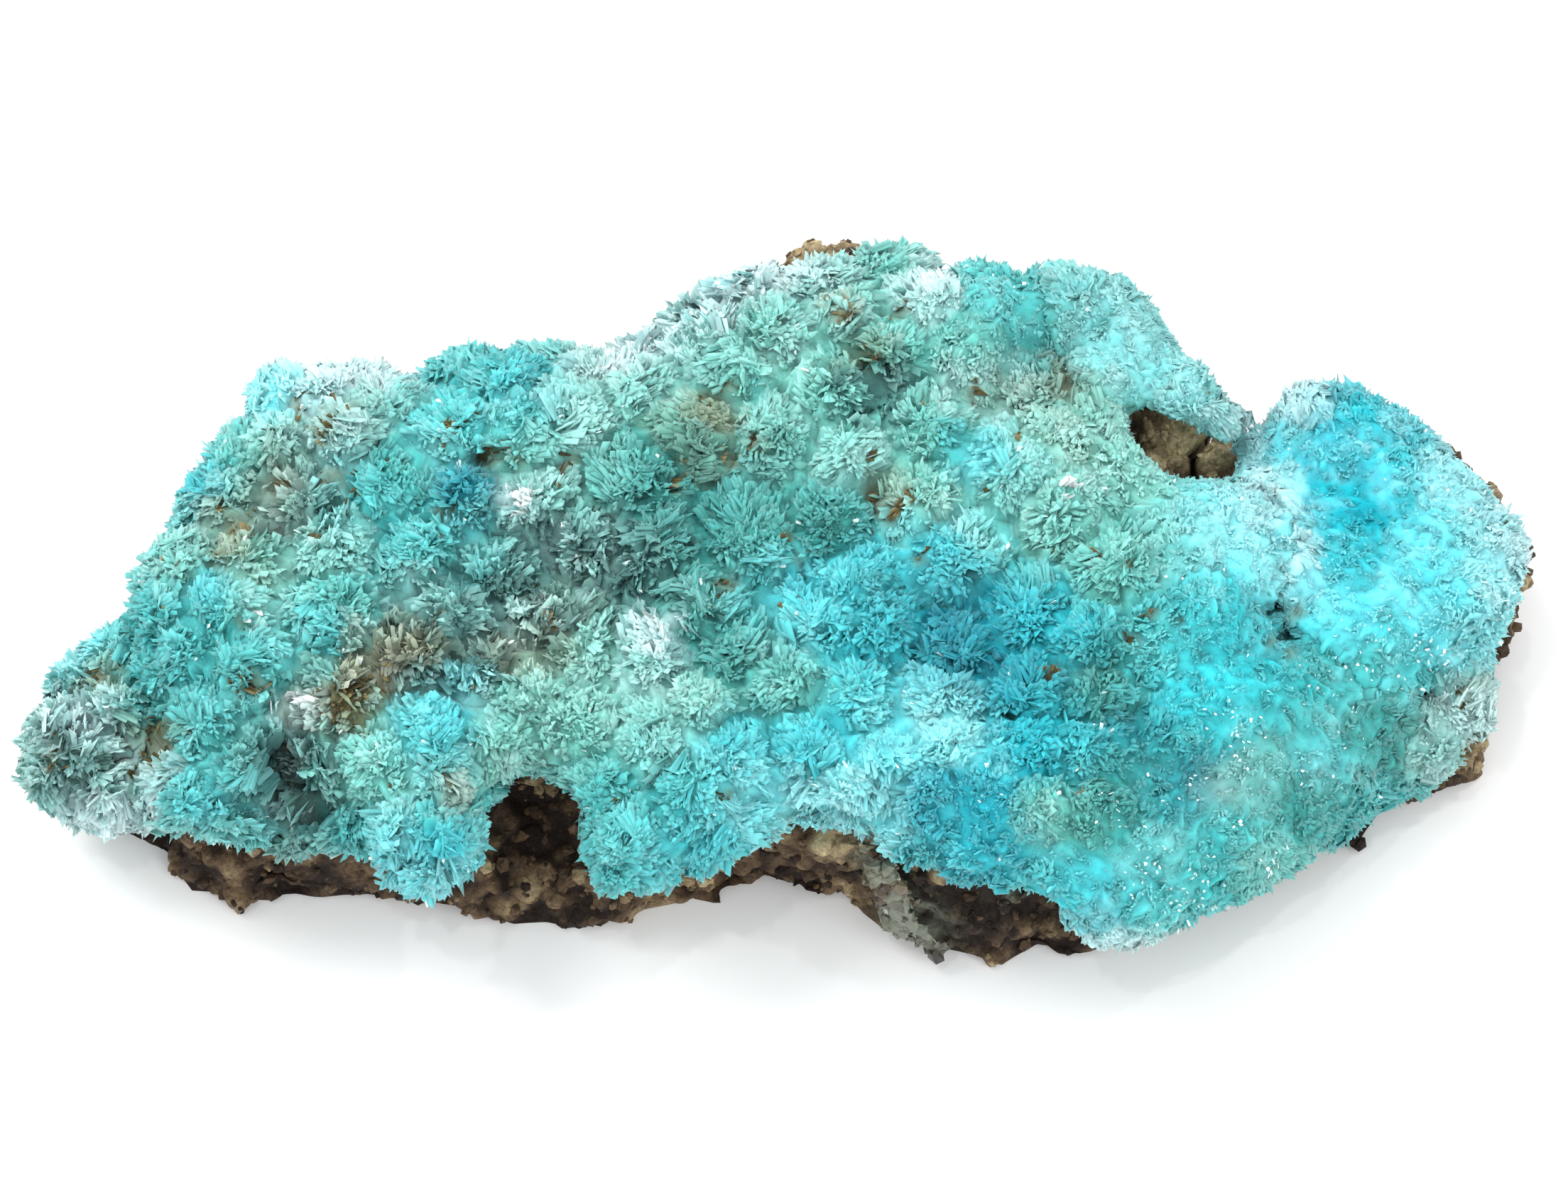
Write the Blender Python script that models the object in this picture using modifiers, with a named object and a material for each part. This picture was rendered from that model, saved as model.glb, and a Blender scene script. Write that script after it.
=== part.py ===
"""Blue aragonite on matrix: a hand specimen 95 mm wide, lying on the broken back of its stone.

Outlines are given on the face of the specimen, in millimetres: u runs to the right and v up the face, both
square to the direction that faces the crust, which leans FACE_LEAN from straight up. on_base() turns a place
on the face, at a height above the base, into the object's own frame, where +Z is up and the stone rests on
Z = 0. MIDDLE is about the middle of the face; centre_over_origin() does the rest at the end.
Each outline runs clockwise. A crust is grown from balls set inside its outline, so its rim is scalloped as
intergrown sprays are, and it is cut to sit on the stone and against its neighbours with a hair's gap.
"""

import math
import random

import bmesh
import bpy
from mathutils import Matrix, Vector, noise

MM = 0.001
FACE_LEAN = math.radians(24)
FACE_HEIGHT = 10.0
MIDDLE = (-0.34, 0.88)

CONTACT_GAP = 0.6
SKIN = 0.3
RIM_BALL = 1.2
RIM_STEP = 1.1
FILL_BALL = 3.2
FILL_STEP = 2.1
SPRAY_BALL = (1.9, 2.9)
SPRAY_STEP = 4.5
SPRAY_RISE = 0.9
SPRAY_RISE_SHARES = (0.5, 1.5)
GRID_JITTER = 0.3
BALL_CUTS = 2
SMALLEST_BALL = 0.9
LOWEST_SKIN = 0.9
ROLL_OFF = 5.5

STONE_VOXEL = 1.6
BREAK_DEPTH = 2.2
BREAK_LUMP = 5.0
FINE_LUMP_SHARE = 0.4
FINE_DEPTH_SHARE = 0.5
CRUST_VOXEL = 1.0
DROP_VOXEL = 0.5
DROP_CUTS = 3
CUTTER_VOXEL = 0.8
CUTTER_SHARE = 0.13
RELAX_FACTOR = 0.5
RELAX_TIMES = 2
SAME_POINT = 1e-6

# The stone in three broken layers: (lowest, highest, outline seen from above in the object's own x and y).
# The lowest layer reaches below the base, where the stone is cut off flat.
BASE_LAYER = (-2.0, 2.6, [
    (-41.5, -11.0), (-44.0, -8.5), (-44.2, -4.8), (-42.4, -2.0), (-39.6, 0.2), (-37.0, 4.0), (-35.0, 9.0),
    (-32.5, 13.5), (-28.0, 14.0), (-22.0, 14.0), (-16.0, 15.0), (-9.0, 16.5), (-4.0, 19.5), (1.0, 22.5),
    (8.0, 22.0), (16.0, 21.0), (22.0, 19.5), (25.0, 15.6), (29.4, 12.4), (36.0, 13.5), (40.5, 12.0),
    (43.4, 8.3), (45.4, 5.0), (44.4, 1.6), (42.4, -1.5), (43.4, -4.5), (44.7, -6.8), (43.2, -8.0),
    (41.0, -9.2), (38.2, -9.8), (36.0, -11.4), (32.0, -13.4), (27.0, -16.0), (22.5, -17.8), (19.0, -19.6),
    (14.5, -20.6), (9.0, -19.9), (5.5, -18.0), (3.5, -16.4), (1.0, -15.8), (-1.5, -16.0), (-3.6, -17.0),
    (-5.0, -18.0), (-9.0, -17.9), (-12.5, -18.6), (-15.5, -17.5), (-19.0, -16.9), (-26.0, -16.8),
    (-33.2, -17.1), (-35.8, -16.0), (-38.8, -13.8),
])
MIDDLE_LAYER = (3.4, 8.0, [
    (-40.4, -11.0), (-42.2, -7.5), (-41.6, -3.5), (-39.6, -0.4), (-37.6, 4.0), (-35.4, 9.0), (-33.0, 14.4),
    (-28.8, 16.2), (-22.0, 15.2), (-15.0, 16.3), (-12.8, 17.8), (-9.0, 17.4), (-5.0, 19.8), (-1.0, 23.4),
    (-0.4, 25.4), (1.2, 27.2), (2.8, 25.4), (4.8, 23.8), (10.0, 22.6), (17.0, 21.6), (23.0, 19.6),
    (25.6, 15.4), (29.4, 12.0), (35.0, 14.9), (39.8, 13.7), (42.5, 10.4), (45.3, 7.6), (46.8, 4.8),
    (47.3, 2.3), (44.2, -1.0), (41.5, -3.5), (38.0, -7.0), (34.0, -10.5), (29.0, -13.2), (23.0, -15.6),
    (18.5, -18.2), (13.5, -19.3), (9.0, -18.4), (5.5, -16.4), (1.0, -15.0), (-3.0, -15.5), (-7.0, -17.0),
    (-11.5, -17.0), (-14.0, -14.6), (-19.5, -15.6), (-27.0, -15.6), (-34.0, -15.8), (-37.5, -13.8),
])
TOP_LAYER = (7.2, 10.3, [
    (-34.6, -9.5), (-35.2, -4.0), (-36.6, 1.5), (-35.8, 7.0), (-33.4, 13.2), (-29.0, 15.0), (-22.0, 14.6),
    (-14.0, 16.0), (-12.8, 17.6), (-9.0, 16.8), (-4.0, 20.6), (-0.5, 23.0), (-0.2, 24.8), (1.0, 26.4),
    (2.6, 24.8), (4.6, 23.4), (8.0, 22.2), (15.0, 21.0), (21.0, 19.8), (24.4, 15.0), (26.8, 11.8),
    (29.0, 9.0), (30.6, 4.0), (31.6, -1.5), (30.5, -6.0), (27.0, -10.0), (22.0, -13.0), (17.0, -15.6),
    (12.0, -17.0), (8.5, -16.2), (4.5, -14.4), (0.5, -14.0), (-4.0, -15.4), (-11.0, -15.6), (-14.5, -12.4),
    (-18.5, -14.0), (-26.0, -14.6), (-32.5, -13.8),
])
STONE_LAYERS = (BASE_LAYER, MIDDLE_LAYER, TOP_LAYER)

# Hollows broken into the stone: (u, v, height, reach along x, along y, along z).
STONE_HOLLOWS = [
    (-14.6, -15.2, 7.2, 4.6, 4.2, 3.6),
    (24.4, 9.6, 13.2, 4.4, 4.6, 4.2),
    (31.2, -1.2, 11.0, 2.0, 2.4, 3.6),
    (-0.5, -17.9, 0.0, 4.0, 3.2, 1.7),
]

# The face outlines of the crusts.
MAIN_RIM = [
    (-40.2, -3.0), (-41.2, -0.6), (-40.0, 1.8), (-38.0, 5.0), (-36.6, 8.6), (-34.2, 11.0), (-33.2, 14.0),
    (-31.8, 15.0), (-28.5, 14.2), (-25.5, 14.6), (-23.9, 14.5), (-23.2, 13.0), (-22.4, 14.3),
    (-19.3, 15.9), (-15.0, 15.7), (-10.5, 15.4), (-8.0, 17.2), (-5.0, 19.8), (0.0, 20.9), (2.4, 21.2),
    (5.0, 22.0), (9.6, 21.7), (10.2, 20.8), (13.0, 21.1), (16.0, 20.4), (17.9, 20.5), (17.7, 17.6),
    (18.0, 15.2), (18.8, 13.2), (20.8, 11.7), (21.6, 10.6), (22.8, 8.6), (24.2, 7.5), (25.8, 7.3),
    (28.0, 7.3), (30.2, 6.2), (31.7, 3.7), (32.1, 1.3), (29.8, 0.4), (30.0, -1.2), (30.6, -2.3),
    (32.4, -2.2), (34.0, -4.2), (38.6, -5.4), (40.4, -6.6), (38.4, -8.8), (37.8, -12.2), (35.2, -15.0),
    (32.0, -16.7), (30.2, -17.4), (28.8, -19.2), (25.4, -19.4), (24.2, -20.8), (20.6, -21.8),
    (18.9, -21.5), (16.8, -19.4), (13.0, -17.6), (11.0, -17.9), (7.0, -15.6), (3.0, -13.6), (0.0, -14.4),
    (-4.0, -16.4), (-5.4, -17.6), (-8.0, -17.7), (-10.8, -18.4), (-12.4, -17.0), (-13.4, -15.8),
    (-12.3, -14.2), (-13.2, -11.8), (-15.2, -11.2), (-17.2, -11.8), (-18.4, -13.8), (-18.2, -16.2),
    (-19.6, -17.6), (-22.4, -18.6), (-24.6, -18.0), (-25.7, -15.4), (-29.0, -15.7), (-32.0, -16.1),
    (-33.6, -14.8), (-36.0, -15.0), (-39.0, -14.4), (-39.0, -10.0), (-38.8, -7.0),
]
UPPER_RIM = [
    (13.6, 18.6), (15.6, 19.8), (18.0, 20.6), (21.4, 20.6), (22.6, 19.0), (24.1, 17.4), (24.9, 15.3),
    (26.8, 13.6), (27.2, 12.4), (29.0, 11.6), (29.2, 10.4), (28.4, 9.3), (26.6, 9.6), (25.0, 10.5),
    (23.2, 11.8), (20.8, 12.4), (18.0, 11.4), (15.0, 12.0), (13.4, 16.0),
]
LOBE_RIM = [
    (25.4, 5.0), (28.2, 7.4), (28.5, 10.6), (29.3, 11.5), (30.3, 10.5), (31.2, 12.8), (33.2, 13.7),
    (36.0, 13.2), (38.6, 12.2), (41.0, 10.0), (43.6, 7.6), (45.6, 5.2), (47.0, 3.0), (46.0, 0.8),
    (45.4, -1.6), (43.6, -4.0), (41.8, -5.5), (38.6, -6.6), (34.0, -7.6), (30.0, -6.0), (28.0, -4.0),
    (27.0, 0.0),
]
LOWER_RIGHT_RIM = [
    (34.0, -6.4), (37.0, -4.0), (42.6, -3.2), (44.7, -6.6), (44.0, -8.8), (42.4, -9.8), (41.2, -11.8),
    (38.6, -12.8), (34.8, -13.0), (33.4, -9.0),
]
LEFT_RIM = [
    (-47.7, -9.6), (-45.7, -5.4), (-44.9, -3.5), (-43.6, -2.4), (-41.8, -2.0), (-38.6, -2.0), (-35.6, -5.0),
    (-35.2, -10.0), (-35.8, -14.2), (-38.8, -14.6), (-41.2, -14.7), (-43.2, -14.8), (-45.7, -13.4),
    (-47.2, -11.4),
]

# Swells and hollows of the crusts' faces: (u, v, radius, rise), in millimetres.
FACE_SWELLS = [
    (-16.0, 2.0, 6.5, -2.4), (11.0, -1.5, 5.5, -2.6), (27.0, 2.5, 5.0, 1.2), (25.0, -3.5, 4.5, 0.6),
    (24.0, 9.5, 4.5, 2.4), (30.5, -20.5, 9.5, -6.0), (36.0, -10.0, 6.0, -4.6), (36.0, 5.5, 4.0, -1.8),
    (41.0, 0.5, 3.5, 0.9), (-31.0, 3.0, 5.0, -1.2), (-29.5, -11.5, 4.5, -2.6), (-21.8, -15.5, 3.6, 1.4),
    (-9.0, -15.0, 4.0, 1.0), (-24.0, 8.0, 5.0, 0.5), (3.0, 12.0, 6.0, 0.6), (15.5, 12.5, 4.0, -1.2),
    (-37.0, -8.0, 3.5, -1.6), (-43.0, -11.8, 1.8, -2.2), (-44.5, -8.5, 2.6, 1.0), (-43.5, -4.0, 2.6, 0.8),
    (31.2, -1.2, 1.5, -5.0), (40.5, -4.5, 3.0, -1.4), (14.5, -9.0, 5.0, 0.7), (-33.5, -1.5, 4.0, 0.8),
]

# (node, outline, crest height, drop to the rim, random seed)
CRUSTS = [
    ("main_crust", MAIN_RIM, 15.8, 5.2, 11),
    ("upper_crust", UPPER_RIM, 14.8, 2.4, 12),
    ("right_lobe", LOBE_RIM, 13.4, 4.2, 13),
    ("left_cluster", LEFT_RIM, 11.0, 3.6, 14),
    ("lower_right_crust", LOWER_RIGHT_RIM, 10.6, 2.2, 15),
]

# Clear drops run together on the front of the stone: (u, v, height, radius).
GLASSY_DROPS = [
    (6.2, -16.9, 7.4, 1.5), (7.0, -18.2, 5.6, 1.4), (7.7, -19.3, 3.9, 1.5), (8.7, -20.3, 2.6, 1.4),
    (7.0, -20.0, 2.8, 1.2), (9.6, -21.2, 1.9, 1.2),
]

TRIANGLES = {
    "matrix": 2100, "main_crust": 3480, "upper_crust": 480, "right_lobe": 620, "left_cluster": 480,
    "lower_right_crust": 330, "glassy_drops": 240,
}

# Colour, roughness and metallic value of each finish.
FINISHES = {
    "brown_stone": ((0.23, 0.16, 0.10, 1.0), 0.92, 0.0),
    "blue_aragonite": ((0.25, 0.66, 0.68, 1.0), 0.30, 0.0),
    "pale_aragonite": ((0.62, 0.80, 0.80, 1.0), 0.28, 0.0),
    "clear_calcite": ((0.52, 0.60, 0.55, 1.0), 0.12, 0.0),
}


def on_base(u, v, height):
    """A place on the face, at a height above the base, in the object's frame in metres."""
    y = (v - (height - FACE_HEIGHT) * math.sin(FACE_LEAN)) / math.cos(FACE_LEAN)
    return Vector((u - MIDDLE[0], y - MIDDLE[1], height)) * MM


def clear_scene():
    for obj in list(bpy.data.objects):
        bpy.data.objects.remove(obj, do_unlink=True)


def make_collection(name):
    collection = bpy.data.collections.new(name)
    bpy.context.scene.collection.children.link(collection)
    return collection


def make_material(name):
    colour, roughness, metallic = FINISHES[name]
    material = bpy.data.materials.new(name)
    material.use_nodes = True
    shader = material.node_tree.nodes["Principled BSDF"]
    shader.inputs["Base Color"].default_value = colour
    shader.inputs["Roughness"].default_value = roughness
    shader.inputs["Metallic"].default_value = metallic
    return material


def add_object(name, data, collection):
    obj = bpy.data.objects.new(name, data)
    collection.objects.link(obj)
    return obj


def settle(obj):
    """Makes what the modifiers show the object's own mesh, and drops them."""
    graph = bpy.context.evaluated_depsgraph_get()
    mesh = bpy.data.meshes.new_from_object(obj.evaluated_get(graph))
    bm = bmesh.new()
    bm.from_mesh(mesh)
    bmesh.ops.remove_doubles(bm, verts=bm.verts, dist=SAME_POINT)
    bmesh.ops.triangulate(bm, faces=bm.faces)
    bm.to_mesh(mesh)
    bm.free()
    mesh.transform(obj.matrix_world)
    name = obj.name
    collection = obj.users_collection[0]
    bpy.data.objects.remove(obj, do_unlink=True)
    return add_object(name, mesh, collection)


def fuse(obj, voxel, triangles):
    """Runs overlapping shapes together into one skin, relaxed and thinned to about so many triangles."""
    remesh = obj.modifiers.new("fuse", "REMESH")
    remesh.mode = "VOXEL"
    remesh.voxel_size = voxel * MM
    relax = obj.modifiers.new("relax", "SMOOTH")
    relax.factor = RELAX_FACTOR
    relax.iterations = RELAX_TIMES
    obj = settle(obj)
    thin = obj.modifiers.new("thin", "DECIMATE")
    thin.ratio = min(1.0, triangles / len(obj.data.polygons))
    return settle(obj)


def largest_piece(obj):
    """Drops the crumbs that a cut leaves beside the main piece."""
    bm = bmesh.new()
    bm.from_mesh(obj.data)
    left = set(bm.verts)
    islands = []
    while left:
        island = set()
        edge_of_island = [left.pop()]
        while edge_of_island:
            vert = edge_of_island.pop()
            island.add(vert)
            for edge in vert.link_edges:
                other = edge.other_vert(vert)
                if other in left:
                    left.discard(other)
                    edge_of_island.append(other)
        islands.append(island)
    islands.sort(key=len, reverse=True)
    crumbs = [vert for island in islands[1:] for vert in island]
    bmesh.ops.delete(bm, geom=crumbs, context="VERTS")
    bm.to_mesh(obj.data)
    bm.free()


def swollen(obj, by, collection):
    """A copy of a piece with its skin moved out, to cut the neighbour that lies against it."""
    cutter = add_object(obj.name + "_cutter", obj.data.copy(), collection)
    swell = cutter.modifiers.new("swell", "DISPLACE")
    swell.mid_level = 0.0
    swell.strength = by * MM
    clean = cutter.modifiers.new("clean", "REMESH")
    clean.mode = "VOXEL"
    clean.voxel_size = CUTTER_VOXEL * MM
    thin = cutter.modifiers.new("thin", "DECIMATE")
    thin.ratio = CUTTER_SHARE
    cutter = settle(cutter)
    cutter.hide_render = True
    cutter.display_type = "WIRE"
    return cutter


def cut(obj, cutter):
    """Takes the cutter out of a piece."""
    trim = obj.modifiers.new("cut", "BOOLEAN")
    trim.operation = "DIFFERENCE"
    trim.solver = "EXACT"
    trim.object = cutter
    return settle(obj)


# The stone


def stone_layer(layer, number, collection):
    """A flat slab of the stone, from its outline."""
    lowest, highest, outline = layer
    curve = bpy.data.curves.new(f"stone_layer_{number}", "CURVE")
    curve.dimensions = "2D"
    curve.fill_mode = "BOTH"
    curve.extrude = (highest - lowest) / 2 * MM
    spline = curve.splines.new("POLY")
    spline.points.add(len(outline) - 1)
    for point, (x, y) in zip(spline.points, outline):
        point.co = ((x - MIDDLE[0]) * MM, (y - MIDDLE[1]) * MM, 0, 1)
    spline.use_cyclic_u = True
    slab = add_object(curve.name, curve, collection)
    slab.location.z = (highest + lowest) / 2 * MM
    bpy.context.view_layer.update()
    return settle(slab)


def join(objects, name, collection):
    """One object that holds the faces of several."""
    bm = bmesh.new()
    for obj in objects:
        bm.from_mesh(obj.data)
        bpy.data.objects.remove(obj, do_unlink=True)
    mesh = bpy.data.meshes.new(name)
    bm.to_mesh(mesh)
    bm.free()
    return add_object(name, mesh, collection)


def roughen(obj, depth, lump):
    """Pushes a rock's skin in and out by smooth noise with lumps of the given size."""
    bm = bmesh.new()
    bm.from_mesh(obj.data)
    bm.normal_update()
    for vert in bm.verts:
        coarse = noise.noise(vert.co / (lump * MM))
        fine = noise.noise(vert.co / (lump * FINE_LUMP_SHARE * MM))
        vert.co += vert.normal * (coarse + FINE_DEPTH_SHARE * fine) * depth * MM
    bm.to_mesh(obj.data)
    bm.free()


def flatten_base(obj):
    """Cuts the rock off flat at the height it rests on."""
    bm = bmesh.new()
    bm.from_mesh(obj.data)
    geometry = bm.verts[:] + bm.edges[:] + bm.faces[:]
    sliced = bmesh.ops.bisect_plane(
        bm, geom=geometry, plane_co=(0, 0, 0), plane_no=(0, 0, -1), clear_outer=True, dist=SAME_POINT
    )
    rim = [item for item in sliced["geom_cut"] if isinstance(item, bmesh.types.BMEdge)]
    bmesh.ops.contextual_create(bm, geom=rim)
    bmesh.ops.triangulate(bm, faces=bm.faces)
    bm.to_mesh(obj.data)
    bm.free()


def hollow_cutter(number, place, collection):
    """A squashed ball that breaks one hollow out of the stone."""
    u, v, height, reach_x, reach_y, reach_z = place
    bm = bmesh.new()
    bmesh.ops.create_icosphere(bm, subdivisions=BALL_CUTS, radius=MM)
    bmesh.ops.scale(bm, vec=(reach_x, reach_y, reach_z), verts=bm.verts)
    bmesh.ops.translate(bm, vec=on_base(u, v, height), verts=bm.verts)
    mesh = bpy.data.meshes.new(f"hollow_{number}")
    bm.to_mesh(mesh)
    bm.free()
    cutter = add_object(mesh.name, mesh, collection)
    cutter.hide_render = True
    cutter.display_type = "WIRE"
    return cutter


def make_stone(parts, cutters):
    """The brown stone: three slabs run together, roughened, hollowed and cut flat underneath."""
    slabs = [stone_layer(layer, number, parts) for number, layer in enumerate(STONE_LAYERS)]
    stone = fuse(join(slabs, "matrix", parts), STONE_VOXEL, TRIANGLES["matrix"])
    roughen(stone, BREAK_DEPTH, BREAK_LUMP)
    flatten_base(stone)
    for number, place in enumerate(STONE_HOLLOWS):
        stone = cut(stone, hollow_cutter(number, place, cutters))
    largest_piece(stone)
    return stone


# The crusts


def rim_distance(u, v, outline):
    """How far a place lies inside an outline: negative outside it."""
    place = Vector((u, v))
    inside = False
    nearest = math.inf
    for (u0, v0), (u1, v1) in zip(outline, outline[1:] + outline[:1]):
        edge = Vector((u1 - u0, v1 - v0))
        along = (place - Vector((u0, v0))).dot(edge) / edge.length_squared
        foot = Vector((u0, v0)) + edge * min(1.0, max(0.0, along))
        nearest = min(nearest, (place - foot).length)
        if (v0 > v) != (v1 > v) and u < u0 + (v - v0) / (v1 - v0) * (u1 - u0):
            inside = not inside
    return nearest if inside else -nearest


def crust_top(u, v, reach, crest, drop):
    """Height of a crust's face: a crest with swells and hollows that rolls off towards the rim."""
    swell = sum(
        rise * math.exp(-((u - mid_u) ** 2 + (v - mid_v) ** 2) / radius**2)
        for mid_u, mid_v, radius, rise in FACE_SWELLS
    )
    roll = max(0.0, 1 - reach / ROLL_OFF) ** 2
    return crest + swell - drop * roll


def rim_places(outline):
    """Places just inside the outline, RIM_STEP apart."""
    for (u0, v0), (u1, v1) in zip(outline, outline[1:] + outline[:1]):
        edge = Vector((u1 - u0, v1 - v0))
        inward = Vector((edge.y, -edge.x)).normalized() * RIM_BALL
        steps = max(1, round(edge.length / RIM_STEP))
        for step in range(steps):
            yield Vector((u0, v0)) + edge * (step / steps) + inward


def inner_places(outline, spacing, chance):
    """Places on a jittered grid that covers the outline's box."""
    low_u = min(u for u, _ in outline)
    high_u = max(u for u, _ in outline)
    low_v = min(v for _, v in outline)
    high_v = max(v for _, v in outline)
    row_step = spacing * math.sqrt(3) / 2
    for row in range(math.ceil((high_v - low_v) / row_step)):
        for column in range(math.ceil((high_u - low_u) / spacing)):
            u = low_u + (column + 0.5 * (row % 2) + chance.uniform(-GRID_JITTER, GRID_JITTER)) * spacing
            v = low_v + row * row_step + chance.uniform(-GRID_JITTER, GRID_JITTER) * spacing
            yield Vector((u, v))


def make_crust(name, outline, crest, drop, seed, parts):
    """A crust as one skin around balls that fill its outline, touch its rim and swell into sprays."""
    chance = random.Random(seed)
    bm = bmesh.new()
    balls = [(place, RIM_BALL, 0.0) for place in rim_places(outline)]
    balls += [(place, FILL_BALL, 0.0) for place in inner_places(outline, FILL_STEP, chance)]
    for place in inner_places(outline, SPRAY_STEP, chance):
        radius = chance.uniform(*SPRAY_BALL)
        balls.append((place, radius, SPRAY_RISE * chance.uniform(*SPRAY_RISE_SHARES)))
    for place, largest, rise in balls:
        reach = rim_distance(place.x, place.y, outline)
        radius = min(reach, largest)
        if radius < SMALLEST_BALL:
            continue
        top = crust_top(place.x, place.y, reach, crest, drop) + rise
        height = max(top - radius, radius + LOWEST_SKIN)
        centre = Matrix.Translation(on_base(place.x, place.y, height))
        bmesh.ops.create_icosphere(bm, subdivisions=BALL_CUTS, radius=(radius + SKIN) * MM, matrix=centre)
    mesh = bpy.data.meshes.new(name)
    bm.to_mesh(mesh)
    bm.free()
    return fuse(add_object(name, mesh, parts), CRUST_VOXEL, TRIANGLES[name])


def make_drops(parts):
    """The clear drops on the front of the stone, run together."""
    bm = bmesh.new()
    for u, v, height, radius in GLASSY_DROPS:
        centre = Matrix.Translation(on_base(u, v, height))
        bmesh.ops.create_icosphere(bm, subdivisions=DROP_CUTS, radius=radius * MM, matrix=centre)
    mesh = bpy.data.meshes.new("glassy_drops")
    bm.to_mesh(mesh)
    bm.free()
    return fuse(add_object("glassy_drops", mesh, parts), DROP_VOXEL, TRIANGLES["glassy_drops"])


def centre_over_origin():
    """Moves everything together, so that the middle of the pieces' box lies over the origin."""
    places = [vert.co for obj in bpy.data.objects if not obj.hide_render for vert in obj.data.vertices]
    middle_x = (min(place.x for place in places) + max(place.x for place in places)) / 2
    middle_y = (min(place.y for place in places) + max(place.y for place in places)) / 2
    for obj in bpy.data.objects:
        obj.data.transform(Matrix.Translation((-middle_x, -middle_y, 0)))


def finish(obj, material):
    largest_piece(obj)
    obj.data.materials.clear()
    obj.data.materials.append(material)


def main():
    clear_scene()
    parts = make_collection("aragonite_on_matrix")
    cutters = make_collection("cutters")
    stone = make_stone(parts, cutters)
    neighbours = [swollen(stone, CONTACT_GAP, cutters)]
    finish(stone, make_material("brown_stone"))
    blue = make_material("blue_aragonite")
    pale = make_material("pale_aragonite")
    for name, outline, crest, drop, seed in CRUSTS:
        crust = make_crust(name, outline, crest, drop, seed, parts)
        for cutter in neighbours:
            crust = cut(crust, cutter)
        finish(crust, pale if name == "lower_right_crust" else blue)
        neighbours.append(swollen(crust, CONTACT_GAP, cutters))
    drops = make_drops(parts)
    for cutter in neighbours:
        drops = cut(drops, cutter)
    finish(drops, make_material("clear_calcite"))
    centre_over_origin()


main()
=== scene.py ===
"""Looks of the blue aragonite on matrix: needle sprays on their crusts, broken brown stone, clear drops.

Lengths are millimetres until a mesh is made. The face is the side of the specimen that the crust covers: u
runs to its right and v up it, square to a direction that leans FACE_LEAN from straight up.
"""

import math

import bpy
import numpy as np
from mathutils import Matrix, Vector
from mathutils.bvhtree import BVHTree


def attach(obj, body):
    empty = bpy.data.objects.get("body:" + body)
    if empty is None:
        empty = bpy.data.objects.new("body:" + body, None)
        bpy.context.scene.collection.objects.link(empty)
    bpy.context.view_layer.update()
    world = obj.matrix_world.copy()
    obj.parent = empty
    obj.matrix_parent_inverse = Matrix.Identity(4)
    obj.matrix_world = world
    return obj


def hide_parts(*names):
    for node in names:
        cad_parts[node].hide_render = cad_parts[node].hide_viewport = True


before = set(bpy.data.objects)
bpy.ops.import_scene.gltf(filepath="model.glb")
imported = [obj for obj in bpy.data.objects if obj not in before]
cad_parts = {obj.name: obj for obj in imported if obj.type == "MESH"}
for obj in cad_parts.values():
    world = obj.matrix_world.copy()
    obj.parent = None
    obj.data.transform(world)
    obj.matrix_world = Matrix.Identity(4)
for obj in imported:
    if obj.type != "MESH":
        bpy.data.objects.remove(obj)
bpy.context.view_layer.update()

MM = 0.001
FACE_LEAN = math.radians(24)
FACE_HEIGHT = 10.0
MIDDLE = (-0.379, 1.465)

VIEW_DISTANCE = 500.0
VIEW_WIDTH = 97.7
SENSOR_WIDTH = 36.0

# Noise: space is parted into cubes, and each cube's place picks a row of a table of random values.
CUBE_CORNERS = np.array([(x, y, z) for x in (0, 1) for y in (0, 1) for z in (0, 1)])
HASH_STEPS = np.array([73856093, 19349663, 83492791])
HASH_SIZE = 4096
FAR_AWAY = 9.0
FACET_SLOPE = 0.55
FACET_HEIGHT = 0.35
GROOVE_DEPTH = 0.3
GROOVE_WIDTH = 0.15

# Edges wander by a broad and a narrow noise of these sizes, and those of the tints by this much.
BROAD_WANDER = 2.6
NARROW_WANDER = 0.9
TINT_WANDER = 0.9

# The crust's colour: the tint under all others and its weight, the strength of its flecks, its brightness.
TINT_SEED = 60
BASE_TINT = "mint"
BASE_WEIGHT = 0.04
FLECK_SHARE = 0.6
CRUST_BRIGHTNESS = 0.88

# How much of a place's colour is its own; the rest is that of the middle of its spray.
OWN_TINT_SHARE = 0.6
SPRAY_TONES = (0.85, 1.15)

# Tints of the crust, as linear red, green and blue; slate is partly painted shade and rim_ice partly painted
# light.
TINTS = {
    "mint": (0.20, 0.60, 0.54),
    "pale_mint": (0.31, 0.68, 0.60),
    "aqua": (0.09, 0.54, 0.55),
    "turquoise": (0.005, 0.54, 0.64),
    "sky": (0.07, 0.59, 0.66),
    "cyan_ice": (0.30, 0.88, 0.93),
    "white_ice": (0.72, 0.96, 0.98),
    "deep_teal": (0.004, 0.30, 0.38),
    "slate": (0.19, 0.42, 0.40),
    "frost": (0.27, 0.70, 0.71),
    "bright_aqua": (0.02, 0.62, 0.71),
    "rim_ice": (0.42, 0.90, 0.95),
    "clear_grey": (0.36, 0.64, 0.60),
    "beige": (0.44, 0.45, 0.34),
    "olive": (0.24, 0.26, 0.15),
    "teal": (0.05, 0.33, 0.31),
    "azure": (0.003, 0.43, 0.54),
    "sky_ice": (0.19, 0.86, 0.94),
}

# White of the broad plates, and of the needles painted white to stand in for glints.
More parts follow.
